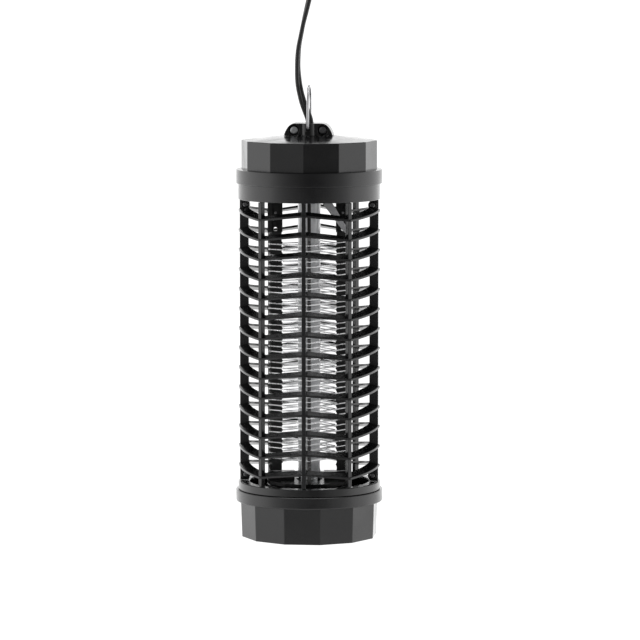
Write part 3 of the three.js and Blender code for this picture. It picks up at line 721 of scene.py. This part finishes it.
def make_blade(side, x):
    half = BLADE_HALF_WIDTH
    tip = PLUG_FACE_Z - GAP - BLADE_LENGTH
    outline = [
        (-half, PLUG_FACE_Z), (-half, tip + 2), (-1.9, tip), (1.9, tip), (half, tip + 2), (half, PLUG_FACE_Z)]
    side_x = BLADE_THICK / 2
    shell = skin([[(x + dx, PLUG_Y + y, z) for y, z in outline] for dx in (-side_x, side_x)])
    blade = piece(
        f"plug_blade_{side}_rounded", [shell], "brass", stands_for=(f"plug_blade_{side}",), bevel=0.25)
    points, faces = lathe([(0, -3), (1.5, -3), (1.5, 3), (0, 3)], 20)
    hole = [(x + p[2], PLUG_Y + p[1], tip + 4.5 + p[0]) for p in points], faces
    return carve(blade, [hole], 0.2)


def make_plug():
    """A moulded plug: a waisted body to grip, a ribbed tail round the cord, and two flat blades."""
    loops = []
    for height, width, depth in plug_sections():
        outline = superellipse(width, depth)
        loops.append([(PLUG_X + u, PLUG_Y + v, PLUG_FACE_Z + height) for u, v in outline])
    body = piece("plug_moulding", [skin(loops)], "cord_rubber", stands_for=("plug_body",), bevel=0.12)
    return [body, make_blade("left", PLUG_X - BLADE_X), make_blade("right", PLUG_X + BLADE_X)]


def tie_band(middle):
    """The tie's loop round the bundle: a flat band on a squared-off ring."""
    x, y, z = middle
    ring = [(x, y + u, z + v) for u, v in superellipse(2 * TIE_HALF_Y, 2 * TIE_HALF_Z, 48, 2 / 0.45)]
    section = [(-1.9, -0.35), (-1.2, -0.6), (1.2, -0.6), (1.9, -0.35)]
    section += [(-u, -v) for u, v in section]
    loops = []
    for k, here in enumerate(ring):
        before, after = Vector(ring[k - 1]), Vector(ring[(k + 1) % len(ring)])
        out = (after - before).normalized().cross(Vector((1, 0, 0)))
        loops.append([tuple(Vector(here) + Vector((u, 0, 0)) + out * v) for u, v in section])
    return skin(loops, True)


def tie_strand(middle, start):
    """One of the tie's two ends, which twist round each other in front and part at their tips."""
    x, y, z = middle
    steps, turns, parting = 59, 3.5, 0.72
    path = []
    for k in range(steps + 1):
        run = k / steps
        angle = start + run * TURN * turns
        apart = 0.75 + 2.4 * max(run - parting, 0)
        path.append((
            x + 1.0 + 15 * run,
            y - TIE_HALF_Y - 1.1 - 1.2 * math.sin(run * 2.4) + apart * math.cos(angle) * 0.7,
            z + 2.0 - 5 * run * run + apart * math.sin(angle),
        ))
    return swept(path, circle(0.75, 10), lambda i, tangent: Vector((0, 1, 0)))


def make_tie():
    """A coated wire tie: once round the bundle, with its two ends twisted together."""
    x, y, z = COIL_CENTRE
    middle = (x, y, z + TIE_HEIGHT)
    shells = [tie_band(middle), tie_strand(middle, 0), tie_strand(middle, math.pi)]
    return piece("coil_wire_tie", shells, "black_plastic", stands_for=("coil_tie",))


def make_cords():
    cord, path, length = make_cord()
    on_it = make_plug() + [make_tie()]


# The head


def make_cap():
    band = lathe([
        (0, CAP_BOTTOM), (CAP_BAND_RADIUS - 0.25, CAP_BOTTOM), (CAP_BAND_RADIUS, CAP_BOTTOM + 0.25),
        (CAP_BAND_RADIUS, CAP_SHOULDER - 0.5), (CAP_BAND_RADIUS - 0.15, CAP_SHOULDER - 0.15),
        (CAP_BAND_RADIUS - 0.5, CAP_SHOULDER), (0, CAP_SHOULDER),
    ])
    piece("top_cap_band", [band], "black_plastic")
    facets = lathe([
        (0, CAP_SHOULDER - 1), (CAP_RADIUS, CAP_SHOULDER - 1), (CAP_RADIUS, CAP_RIM),
        (CAP_FLAT_RADIUS, CAP_TOP), (0, CAP_TOP),
    ], SIDES)
    piece("top_cap_facets", [facets], "black_plastic", stands_for=("top_cap",), bevel=0.35, segments=3)


def make_chassis():
    spigot = CAP_BAND_RADIUS - 4.7
    spigot_top = CAP_BOTTOM + 0.5
    deck_hole, deck_bottom, deck_top = 11, 246.2, 248.6
    groove_top = HEAD_BOTTOM + RIM_HEIGHT + 2 * GAP
    wall_inner = RIM_INNER - WALL
    shell = lathe([
        (HEAD_RADIUS - 0.3, HEAD_BOTTOM), (HEAD_RADIUS, HEAD_BOTTOM + 0.3), (HEAD_RADIUS, CAP_BOTTOM - GAP),
        (spigot + 2, CAP_BOTTOM - GAP), (spigot + 2, spigot_top), (spigot, spigot_top), (spigot, deck_top),
        (deck_hole, deck_top), (deck_hole, deck_bottom), (wall_inner, deck_bottom), (wall_inner, HEAD_BOTTOM),
        (RIM_INNER - GAP, HEAD_BOTTOM), (RIM_INNER - GAP, groove_top), (RIM_OUTER + GAP, groove_top),
        (RIM_OUTER + GAP, HEAD_BOTTOM),
    ])
    piece("head_ring", [shell], "black_plastic", stands_for=("head_chassis",))


def clamp_outline():
    low = CAP_TOP + GAP
    high = low + CLAMP_HEIGHT
    shoulder = CLAMP_HALF_WIDTH - CLAMP_TOP_HALF_WIDTH
    start = Vector((CLAMP_HALF_WIDTH - 0.9, low + 2.5))
    corner = Vector((CLAMP_HALF_WIDTH - 0.45 * shoulder, high))
    end = Vector((CLAMP_TOP_HALF_WIDTH, high))
    right = [(CLAMP_HALF_WIDTH, low)]
    for k in range(15):
        t = k / 14
        right.append(tuple(start * (1 - t) ** 2 + corner * 2 * t * (1 - t) + end * t ** 2))
    return right + [(-x, z) for x, z in reversed(right)]


def clamp_recess(side, hand):
    """A clamp screw's place: a round recess for its head in front, or a hexagonal pocket behind."""
    place = (hand * CLAMP_SCREW_X, 0, CLAMP_SCREW_Z)
    if side > 0:
        return spindle([(0, -9), (2.4, -9), (2.4, -6.5), (0, -6.5)], place, 6)
    floor = 5.2 if hand < 0 else 4.6
    return spindle([(0, floor), (3.45, floor), (3.45, 10), (0, 10)], place, 40)


def clamp_half(side, name):
    """A half of the cord clamp: its rounded plate, and the boss in its middle where the hanger turns."""
    low = CAP_TOP + GAP
    high = low + CLAMP_HEIGHT
    plate_shell = outline_along_y(clamp_outline(), 0.15 * side, CLAMP_DEPTH * side)
    half = piece(f"{name}_moulding", [plate_shell], "black_plastic", stands_for=(name,))
    bulge = []
    for k in range(21):
        angle = math.pi * k / 20
        forward = CLAMP_BULGE_FACE - CLAMP_BULGE_RADIUS + CLAMP_BULGE_RADIUS * math.sin(angle)
        bulge.append((CLAMP_BULGE_RADIUS * math.cos(angle), side * forward))
    bulge += [(-CLAMP_BULGE_RADIUS, side * 0.2), (CLAMP_BULGE_RADIUS, side * 0.2)]
    boss = skin([[(x, y, z) for x, y in bulge] for z in (low, high - 0.02)])
    front = piece(f"{name}_boss", [boss], "black_plastic")
    cord_room = block((-3.0, -1.8, low - 1), (3.0, 1.8, high + 2))
    slot_y = sorted((side * 9, side * 19))
    slot = block((-2, slot_y[0], low + 0.8), (2, slot_y[1], PIVOT_Z - 1.8))
    pivot = spindle([(0, -20), (PIVOT_RADIUS, -20), (PIVOT_RADIUS, 20), (0, 20)], (0, 0, PIVOT_Z), 20)
    carve(half, [cord_room, clamp_recess(side, -1), clamp_recess(side, 1)], 0.45)
    carve(front, [cord_room, slot, pivot], 0.3)


def cross_screw(name, place, radius, slot, stands_for=()):
    """A pan-head screw that faces -Y, with a cross recess. place is the middle of its head's face."""
    x, y, z = place
    front, depth = y - 1, y + 1.2
    head = spindle([
        (0, -3.0), (radius * 0.5, -3.0), (radius * 0.5, -1.6), (radius, -1.6), (radius, -0.55),
        (radius * 0.92, -0.22), (radius * 0.7, -0.05), (0, 0),
    ], place, 40)
    screw = piece(name, [head], slot, stands_for=stands_for)
    reach, half = radius * 0.66, radius * 0.17
    cross = [
        block((x - reach, front, z - half), (x + reach, depth, z + half)),
        block((x - half, front, z - reach), (x + half, depth, z + reach)),
    ]
    return carve(screw, cross, 0.08)


def make_clamp():
    clamp_half(-1, "clamp_front")
    clamp_half(1, "clamp_back")
    left = (-CLAMP_SCREW_X, LEFT_SCREW_FACE, CLAMP_SCREW_Z)
    right = (CLAMP_SCREW_X, RIGHT_SCREW_FACE, CLAMP_SCREW_Z)
    cross_screw("clamp_screw_left_head", left, CLAMP_SCREW_RADIUS, "steel", ("clamp_screw_left",))
    cross_screw("clamp_screw_right_head", right, CLAMP_SCREW_RADIUS, "dark_steel", ("clamp_screw_right",))


def make_hanger():
    stem = [(0, y, PIVOT_Z + z) for y, z in HANGER_STEM] + [(0, -HANGER_HALF_WIDTH, HANGER_BEND_Z - 6)]
    arch = []
    for k in range(13):
        angle = math.pi * k / 12
        rise = (HANGER_TOP_Z - HANGER_BEND_Z) * math.sin(angle)
        arch.append((0, -HANGER_HALF_WIDTH * math.cos(angle), HANGER_BEND_Z + rise))
    path = smooth_path(stem + arch + [(0, -y, z) for _, y, z in reversed(stem)], 0.8)
    wire = swept(path, circle(HANGER_WIRE_RADIUS, 20), lambda i, tangent: Vector((1, 0, 0)))
    piece("hanger_wire", [wire], "steel", body="hanger_loop", stands_for=("hanger",),
          material=MATERIALS["hanger_steel"])


# The cage


def slat_rise(degrees):
    """How far a slat's corner has risen above its lowest corners, which are at the valley ribs."""
    folded = abs((degrees + 180) % 360 - 180)
    return SLAT_RISE_PER_DEGREE * min(abs(folded - VALLEY_ANGLE), abs(folded - 180 + VALLEY_ANGLE))


def slat_corner(degrees, low, inner=SLAT_INNER):
    z = low + slat_rise(degrees)
    return [
        round_at(SLAT_OUTER, degrees, z), round_at(SLAT_OUTER, degrees, z + SLAT_THICK),
        round_at(inner, degrees, z + SLAT_THICK + SLAT_TILT), round_at(inner, degrees, z + SLAT_TILT),
    ]


def between(first, second, share):
    return [tuple(Vector(a).lerp(Vector(b), share)) for a, b in zip(first, second)]


def side_bar(low, end, valley):
    """The part of a slat between a seam and a valley rib, bowed out most of the way to the round."""
    first, last = slat_corner(end, low), slat_corner(valley, low)
    steps = 10
    loops = []
    for k in range(1, steps):
        on_round = slat_corner(end + (valley - end) * k / steps, low)
        loops.append(between(between(first, last, k / steps), on_round, SIDE_BOW))
    return [slat_corner(end, low, SLAT_INNER - SEAM_FILLET), *loops, last]


def slat(low, middle):
    """One half's slat: bowed beside the seams, straight in front, and rounded over at the middle rib."""
    sides = []
    for hand in (-1, 1):
        valley = middle + hand * VALLEY_ANGLE
        bars = side_bar(low, middle + hand * (90 - SEAM_HALF_GAP), valley)
        crest = slat_corner(middle, low)
        sides.append(bars + [between(slat_corner(valley, low), crest, share) for share in (0.5, 0.86, 0.95)])
    left, right = sides
    return skin(left + [between(left[-1], right[-1], 0.5)] + right[::-1])


def half_rim(low, middle):
    """Half of a rim of the cage."""
    high = low + RIM_HEIGHT
    corners = [(RIM_INNER, low), (RIM_OUTER, low), (RIM_OUTER, high), (RIM_INNER, high)]
    loops = []
    for k in range(73):
        degrees = middle - 90 + SEAM_HALF_GAP + (180 - 2 * SEAM_HALF_GAP) * k / 72
        loops.append([round_at(radius, degrees, z) for radius, z in corners])
    return skin(loops)


def seam_rib(hand, side):
    """One half's share of the thick rib at a seam. hand is the side on X, and side the half on Y."""
    inner, outer, thickness = SEAM_RIB
    x0, x1 = sorted((hand * inner, hand * outer))
    y0, y1 = sorted((side * 0.15, side * (0.15 + thickness)))
    return block((x0, y0, BASE_TOP + GAP), (x1, y1, HEAD_BOTTOM - GAP))


def cage_lug(hand, z, side):
    """The round lug that a cage screw goes through. The front one has room for the screw's head."""
    hole, recess, recess_floor = 1.3, 2.2, 2.2
    outer, end, start = CAGE_LUG_RADIUS, CAGE_LUG_HALF, 0.15
    if side < 0:
        profile = [(hole, start), (outer, start), (outer, end), (recess, end), (recess, recess_floor),
                   (hole, recess_floor)]
    else:
        profile = [(hole, -start), (outer, -start), (outer, -end), (hole, -end)]
    return spindle(profile, (hand * CAGE_SCREW_X, 0, z), 32)


def make_cage_half(name, middle, side):
    shells = [slat(SLAT_TOP_Z - SLAT_PITCH * k, middle) for k in range(SLAT_COUNT)]
    low, high = BASE_TOP + GAP, HEAD_BOTTOM - GAP
    shells.append(plate(*MIDDLE_RIB, low, high, middle))
    shells += [plate(*VALLEY_RIB, low, high, middle + turn) for turn in (-VALLEY_ANGLE, VALLEY_ANGLE)]
    for degrees in (middle, middle - VALLEY_ANGLE, middle + VALLEY_ANGLE):
        for z in (low - 2, high - 1):
            shells.append(plate(RIM_INNER + 0.3, RIM_OUTER - 0.3, 2.0, z, z + 3, degrees))
    shells.append(half_rim(low - GAP - RIM_HEIGHT, middle))
    shells.append(half_rim(high + GAP, middle))
    for hand in (-1, 1):
        shells.append(seam_rib(hand, side))
        shells += [cage_lug(hand, z, side) for z in CAGE_SCREW_HEIGHTS.values()]
    piece(f"{name}_moulding", shells, "black_plastic", stands_for=(name,), bevel=0.3)


def make_cage():
    make_cage_half("cage_front", 0, -1)
    make_cage_half("cage_back", 180, 1)
    for level, z in CAGE_SCREW_HEIGHTS.items():
        for hand, side in ((-1, "left"), (1, "right")):
            name = f"cage_screw_{level}_{side}"
            place = (hand * CAGE_SCREW_X, CAGE_SCREW_FACE, z)
            cross_screw(f"{name}_head", place, CAGE_SCREW_RADIUS, "dark_steel", stands_for=(name,))


# The grid


def wire_path(radius, start_quarter, seed):
    """A wire wound over the four posts. It bends round each post, and no span lies quite even."""
    uneven = random.Random(seed)
    last = 4 * WIRE_TURNS + start_quarter
    rise = Vector((0, 0, WIRE_PITCH / 4 * WIRE_BEND / (radius * math.sqrt(2))))
    near = 0.4
    path = []
    for quarter in range(start_quarter, last + 1):
        z = WIRE_START_Z + (quarter - start_quarter) * WIRE_PITCH / 4
        z += uneven.uniform(-WIRE_UNEVEN, WIRE_UNEVEN) if start_quarter < quarter < last else 0
        before, corner, after = [
            Vector(round_at(radius, 90 * (quarter + step) + GRID_TURN, z)) for step in (-1, 0, 1)]
        before = (before - corner).normalized() * WIRE_BEND
        after = (after - corner).normalized() * WIRE_BEND
        inward = (before + after).normalized()
        if quarter > start_quarter:
            path += [corner + before - rise, corner + (before - rise) * near + inward * 0.12]
        path.append(corner + inward * 0.3)
        if quarter < last:
            path += [corner + (after + rise) * near + inward * 0.12, corner + after + rise]
    return [tuple(p) for p in path]


def make_wire(name, radius, start_quarter, seed):
    path = wire_path(radius, start_quarter, seed)
    shell = swept(path, circle(WIRE_RADIUS, 8), lambda i, tangent: Vector((0, 0, 1)))
    piece(f"{name}_wound", [shell], "steel", stands_for=(name,), material=MATERIALS["wire_steel"])


def post_loop(degrees, inner, outer, z):
    half = POST_THICK / 2
    section = [(half, -inner), (-half, -inner), (-half, -outer + half), (0, -outer), (half, -outer + half)]
    return turned_about_axis([(x, y, z) for x, y in section], degrees)


def tooth(z, quarters):
    """0 where a wire passes a post, this many quarter turns after its start, and 1 between its turns."""
    turns = (z - WIRE_START_Z) / WIRE_PITCH - (quarters % 4) / 4
    away = abs((turns + 0.5) % 1 - 0.5) * 2
    return ease((away - 0.4) / 0.5)


def through_post(profile, z, degrees, sides):
    """A turned shell that runs across a post, centred on its hole."""
    points, faces = lathe(profile, sides)
    placed = [(p[2], -POST_HOLE_RADIUS + p[0], z + p[1]) for p in points]
    return turned_about_axis(placed, degrees), faces


def make_post(name, quarter):
    """A post with a tooth between each two turns of wire, on its outer and its inner edge."""
    degrees = 90 * quarter + GRID_TURN
    low = POST_LOW_AT_SIDES if quarter % 2 else POST_LOW
    loops = [post_loop(degrees, POST_INNER, POST_OUTER, low)]
    steps_per_tooth = 6
    first = WIRE_START_Z - WIRE_PITCH
    for k in range((WIRE_TURNS + 2) * steps_per_tooth + 1):
        z = first + WIRE_PITCH * k / steps_per_tooth
        if low + 0.5 < z < POST_HEAD_BOTTOM - 1.5:
            inner = POST_INNER - INNER_TOOTH * tooth(z, quarter - 2)
            outer = POST_OUTER + OUTER_TOOTH * tooth(z, quarter - 1)
            loops.append(post_loop(degrees, inner, outer, z))
    for z in (POST_HEAD_BOTTOM - 0.8, POST_HIGH):
        loops.append(post_loop(degrees, POST_INNER, POST_OUTER, z))
    head = plate(POST_HEAD_INNER, POST_HEAD_OUTER, POST_THICK, POST_HEAD_BOTTOM, POST_HIGH, degrees)
    shaft = piece(f"{name}_notched", [skin(loops)], "grid_plastic", stands_for=(name,))
    top = piece(f"{name}_head", [head], "grid_plastic")
    radius = POST_EYE_RADIUS
    eye = through_post([(0, -4), (radius, -4), (radius, 4), (0, 4)], POST_EYE_Z, degrees, 24)
    carve(shaft, [eye])
    carve(top, [eye], 0.25)
    rivet = through_post([(0, -1.7), (1.0, -1.7), (1.0, 1.7), (0, 1.7)], POST_HEAD_BOTTOM + 14, degrees, 20)
    piece(f"{name}_rivet", [rivet], "dark_steel", bevel=0.25)


def make_lead(name, route, width):
    """A lead in a flat woven sleeve, which narrows towards its lower end."""
    path = [Vector(p) for p in smooth_path(route, 1.5)]
    last = len(path) - 1
    facing = Vector((1, 0.25, 0))
    loops = []
    for i, here in enumerate(path):
        tangent = (path[min(i + 1, last)] - path[max(i - 1, 0)]).normalized()
        wide = (facing - tangent * tangent.dot(facing)).normalized()
        thin = tangent.cross(wide)
        across = width * (1 - LEAD_NARROWING * i / last)
        section = superellipse(across, LEAD_THICK, 20, 3.0)
        loops.append([tuple(here + wide * u + thin * v) for u, v in section])
    piece(f"{name}_sleeve", [skin(loops)], "lead_sleeve", stands_for=(name,), bevel=0.1)


def make_leads():
    """The two leads, from the head down to the wires' upper ends."""
    outer = [(12.6, -14.5, 248), (13.2, -14.5, 241.5), (18.4, -13.6, 233.5), (23.8, -9.8, 224.5),
             (28.2, -4.6, 217.6)]
    inner = [(0, 15, 248), (0, 15, 240), (0, 15.3, 231), (0, 15.8, 223), (0, 16.2, 216.5)]
    make_lead("hv_lead_outer", outer, OUTER_LEAD_WIDTH)
    make_lead("hv_lead_inner", inner, INNER_LEAD_WIDTH)


def make_grid():
    make_wire("outer_grid_wire", OUTER_WIRE_RADIUS, 1, 11)
    make_wire("inner_grid_wire", INNER_WIRE_RADIUS, 2, 12)
    for quarter, place in enumerate(("front", "right", "back", "left")):
        make_post(f"grid_post_{place}", quarter)
    make_leads()
    dress("grid_holder_top", "grid_plastic", 0.3)
    dress("grid_holder_bottom", "grid_plastic", 0.3)
    for hand, side in ((-1, "left"), (1, "right")):
        place = turned_about_axis([(hand * BLOCK_SCREW_X, -5.3, 43.2)], GRID_TURN)[0]
        cross_screw(f"grid_block_screw_{side}", place, BLOCK_SCREW_RADIUS, "steel")


# The lamp


def make_lamp():
    low, high = LAMP_BOTTOM + LAMP_CAP_LENGTH, LAMP_TOP - LAMP_CAP_LENGTH
    neck, shoulder = LAMP_RADIUS - 0.8, LAMP_RADIUS - 0.25
    glass = lathe([
        (0, low - 2.5), (neck, low - 2.5), (neck, low + 0.1), (shoulder, low + 0.5), (LAMP_RADIUS, low + 1.7),
        (LAMP_RADIUS, high - 1.7), (shoulder, high - 0.5), (neck, high - 0.1), (neck, high + 2.5),
        (0, high + 2.5),
    ], 96)
    piece("uv_lamp_glass", [glass], "lamp_glass", stands_for=("uv_lamp_tube",))
    profile = [(0, 0), (7.0, 0), (7.7, 0.25), (8.1, 0.9), (8.1, 4.6), (7.85, 4.9), (7.85, 5.3), (8.1, 5.6),
               (8.1, 7.2), (7.9, LAMP_CAP_LENGTH), (0, LAMP_CAP_LENGTH)]
    for place, face, inwards in (("lower", LAMP_BOTTOM, 1), ("upper", LAMP_TOP, -1)):
        shell = lathe([(r, face + inwards * z) for r, z in profile], 96)
        piece(f"lamp_cap_{place}_spun", [shell], "lamp_metal", stands_for=(f"lamp_cap_{place}",))


# The base


def make_base():
    low = TRAY_TOP + GAP
    wall_inner = RIM_INNER - WALL
    floor = BASE_TOP - RIM_HEIGHT - 2 * GAP
    ring = lathe([
        (BASE_RADIUS, low), (BASE_RADIUS, BASE_TOP - 0.35), (BASE_RADIUS - 0.12, BASE_TOP - 0.1),
        (BASE_RADIUS - 0.4, BASE_TOP), (RIM_OUTER + GAP, BASE_TOP), (RIM_OUTER + GAP, floor),
        (RIM_INNER - GAP, floor), (RIM_INNER - GAP, BASE_TOP), (wall_inner + 0.5, BASE_TOP),
        (wall_inner, BASE_TOP - 0.5), (wall_inner, SKIRT_BOTTOM), (SKIRT_RADIUS, SKIRT_BOTTOM),
        (SKIRT_RADIUS, low),
    ])
    hole, rim, high = 13, 30, low + 3.4
    hub = lathe([
        (hole, low), (rim, low), (rim, high - 0.3), (rim - 0.3, high), (hole + 0.3, high),
        (hole, high - 0.3),
    ])
    spokes = [plate(20, wall_inner + 1, 6, low, high, degrees) for degrees in (45, 135, 225, 315)]
    lugs = [plate(43.7, 48.2, LUG_WIDTH, 28.0, 29.8, degrees) for degrees in LUG_ANGLES]
    piece("base_moulding", [ring, hub, *spokes, *lugs], "black_plastic", stands_for=("base_ring",), bevel=0.2)


def make_tray():
    cup_top = TRAY_SHOULDER + 0.4
    cup = lathe([
        (0, 0), (TRAY_FOOT_RADIUS, 0), (TRAY_RADIUS, cup_top), (TRAY_RADIUS - 3, cup_top),
        (TRAY_FOOT_RADIUS - 2.5, WALL), (0, WALL),
    ], SIDES, TRAY_TURN)
    piece("collecting_cup", [cup], "black_plastic", body="tray", stands_for=("collecting_tray",), bevel=0.45,
          segments=3)
    outer = TRAY_BAND_RADIUS
    band = lathe([
        (outer - 4.6, TRAY_SHOULDER), (outer - 0.8, TRAY_SHOULDER), (outer - 0.25, TRAY_SHOULDER + 0.25),
        (outer, TRAY_SHOULDER + 0.8), (outer, TRAY_TOP - 0.3), (outer - 0.3, TRAY_TOP),
        (outer - 3.0, TRAY_TOP), (outer - 3.2, TRAY_TOP - 0.3), (outer - 3.2, 27.2), (outer - 4.6, 27.2),
    ])
    lugs = [plate(46.0, 50.5, LUG_WIDTH, 30.3, 32.3, degrees) for degrees in LUG_ANGLES]
    piece("collecting_tray_band", [band, *lugs], "black_plastic", body="tray")


# The rest of the CAD's own nodes, which are inside the head or between the lamp's ends and its sockets


def dress_the_rest():
    for number in (1, 2, 3, 4):
        dress(f"board_spacer_{number}", "black_plastic", 0.2)
        dress(f"hv_capacitor_{number}", "component", 0.5)
    dress("circuit_board", "board", 0.1)
    dress("lamp_ballast", "dark_steel", 0.3)
    dress("supply_capacitor", "dark_steel", 0.4)
    dress("terminal_block", "holder_plastic", 0.3)
    for place in ("lower", "upper"):
        dress(f"lamp_socket_{place}", "holder_plastic", 0.3)
        for side in ("left", "right"):
            dress(f"lamp_pin_{place}_{side}", "brass", 0.2)


# Studio


def make_floor():
    mesh = bpy.data.meshes.new("studio_floor")
    z = UNDERSIDE - FLOOR_DEPTH
    half = FLOOR_HALF
    corners = [(-half, -half, z), (half, -half, z), (half, half, z), (-half, half, z)]
    mesh.from_pydata(corners, [], [(0, 1, 2, 3)])
    floor = bpy.data.objects.new("studio_floor", mesh)
    bpy.context.scene.collection.objects.link(floor)
    made = Shader("studio_floor", (0.9, 0.9, 0.9), 0.8)
    made.colour_from(made.blend(made.spread(made.noise(3.0), 0, 1), (0.88, 0.88, 0.88), (0.92, 0.92, 0.92)))
    made.set("Emission Color", (1, 1, 1, 1))
    made.set("Emission Strength", 0.6)
    mesh.materials.append(made.material)


def make_world():
    """A white surround, brightest low down beside and behind the lamp, and dim in front and overhead."""
    world = bpy.data.worlds.new("studio")
    bpy.context.scene.world = world
    world.use_nodes = True
    nodes, links = world.node_tree.nodes, world.node_tree.links
    lit = nodes["Background"]
    place = nodes.new("ShaderNodeTexCoord")
    split = nodes.new("ShaderNodeSeparateXYZ")
    links.new(place.outputs["Generated"], split.inputs["Vector"])
    towards_dark = nodes.new("ShaderNodeVectorMath")
    towards_dark.operation = "DOT_PRODUCT"
    towards_dark.inputs[1].default_value = round_at(1, DARK_SIDE)
    links.new(place.outputs["Generated"], towards_dark.inputs[0])
    away = nodes.new("ShaderNodeMapRange")
    away.inputs["From Min"].default_value = 1
    away.inputs["From Max"].default_value = -1
    links.new(towards_dark.outputs["Value"], away.inputs["Value"])
    round_about = nodes.new("ShaderNodeFloatCurve")
    curve = round_about.mapping.curves[0]
    for x, y in ((0.022, 0.12), (0.134, 0.33), (0.25, 0.6), (0.388, 0.95), (0.61, 1.0)):
        curve.points.new(x, y)
    curve.points[0].location = (0, 0.05)
    curve.points[-1].location = (1, 0.9)
    round_about.mapping.update()
    links.new(away.outputs["Result"], round_about.inputs["Value"])
    height = nodes.new("ShaderNodeMapRange")
    height.interpolation_type = "SMOOTHSTEP"
    height.inputs["From Min"].default_value = 0.2
    height.inputs["From Max"].default_value = 0.62
    height.inputs["To Min"].default_value = 1.8
    height.inputs["To Max"].default_value = 0.3
    links.new(split.outputs["Z"], height.inputs["Value"])
    strength = nodes.new("ShaderNodeMath")
    strength.operation = "MULTIPLY"
    links.new(round_about.outputs["Value"], strength.inputs[0])
    links.new(height.outputs["Result"], strength.inputs[1])
    links.new(strength.outputs["Value"], lit.inputs["Strength"])
    seen = nodes.new("ShaderNodeBackground")
    seen.inputs["Strength"].default_value = 1.15
    seen.inputs["Color"].default_value = (1, 1, 1, 1)
    lit.inputs["Color"].default_value = (1, 1, 1, 1)
    ray = nodes.new("ShaderNodeLightPath")
    mixed = nodes.new("ShaderNodeMixShader")
    links.new(ray.outputs["Is Camera Ray"], mixed.inputs["Fac"])
    links.new(lit.outputs["Background"], mixed.inputs[1])
    links.new(seen.outputs["Background"], mixed.inputs[2])
    links.new(mixed.outputs["Shader"], nodes["World Output"].inputs["Surface"])


def make_light(name, place, size, power):
    data = bpy.data.lights.new(name, "AREA")
    data.shape = "RECTANGLE"
    data.size, data.size_y = size
    data.energy = power
    light = bpy.data.objects.new(name, data)
    bpy.context.scene.collection.objects.link(light)
    light.location = at(*place)
    middle = at(0, 0, 150)
    light.rotation_euler = (middle - light.location).to_track_quat("-Z", "Y").to_euler()


def make_studio():
    make_floor()
    make_world()
    make_light("overhead_softbox", (0, 300, 3200), (3.0, 3.0), 60)
    bpy.context.scene.view_settings.view_transform = "Standard"


make_camera()
make_cords()
make_cap()
make_chassis()
make_clamp()
make_hanger()
make_cage()
make_grid()
make_lamp()
make_base()
make_tray()
dress_the_rest()
make_studio()
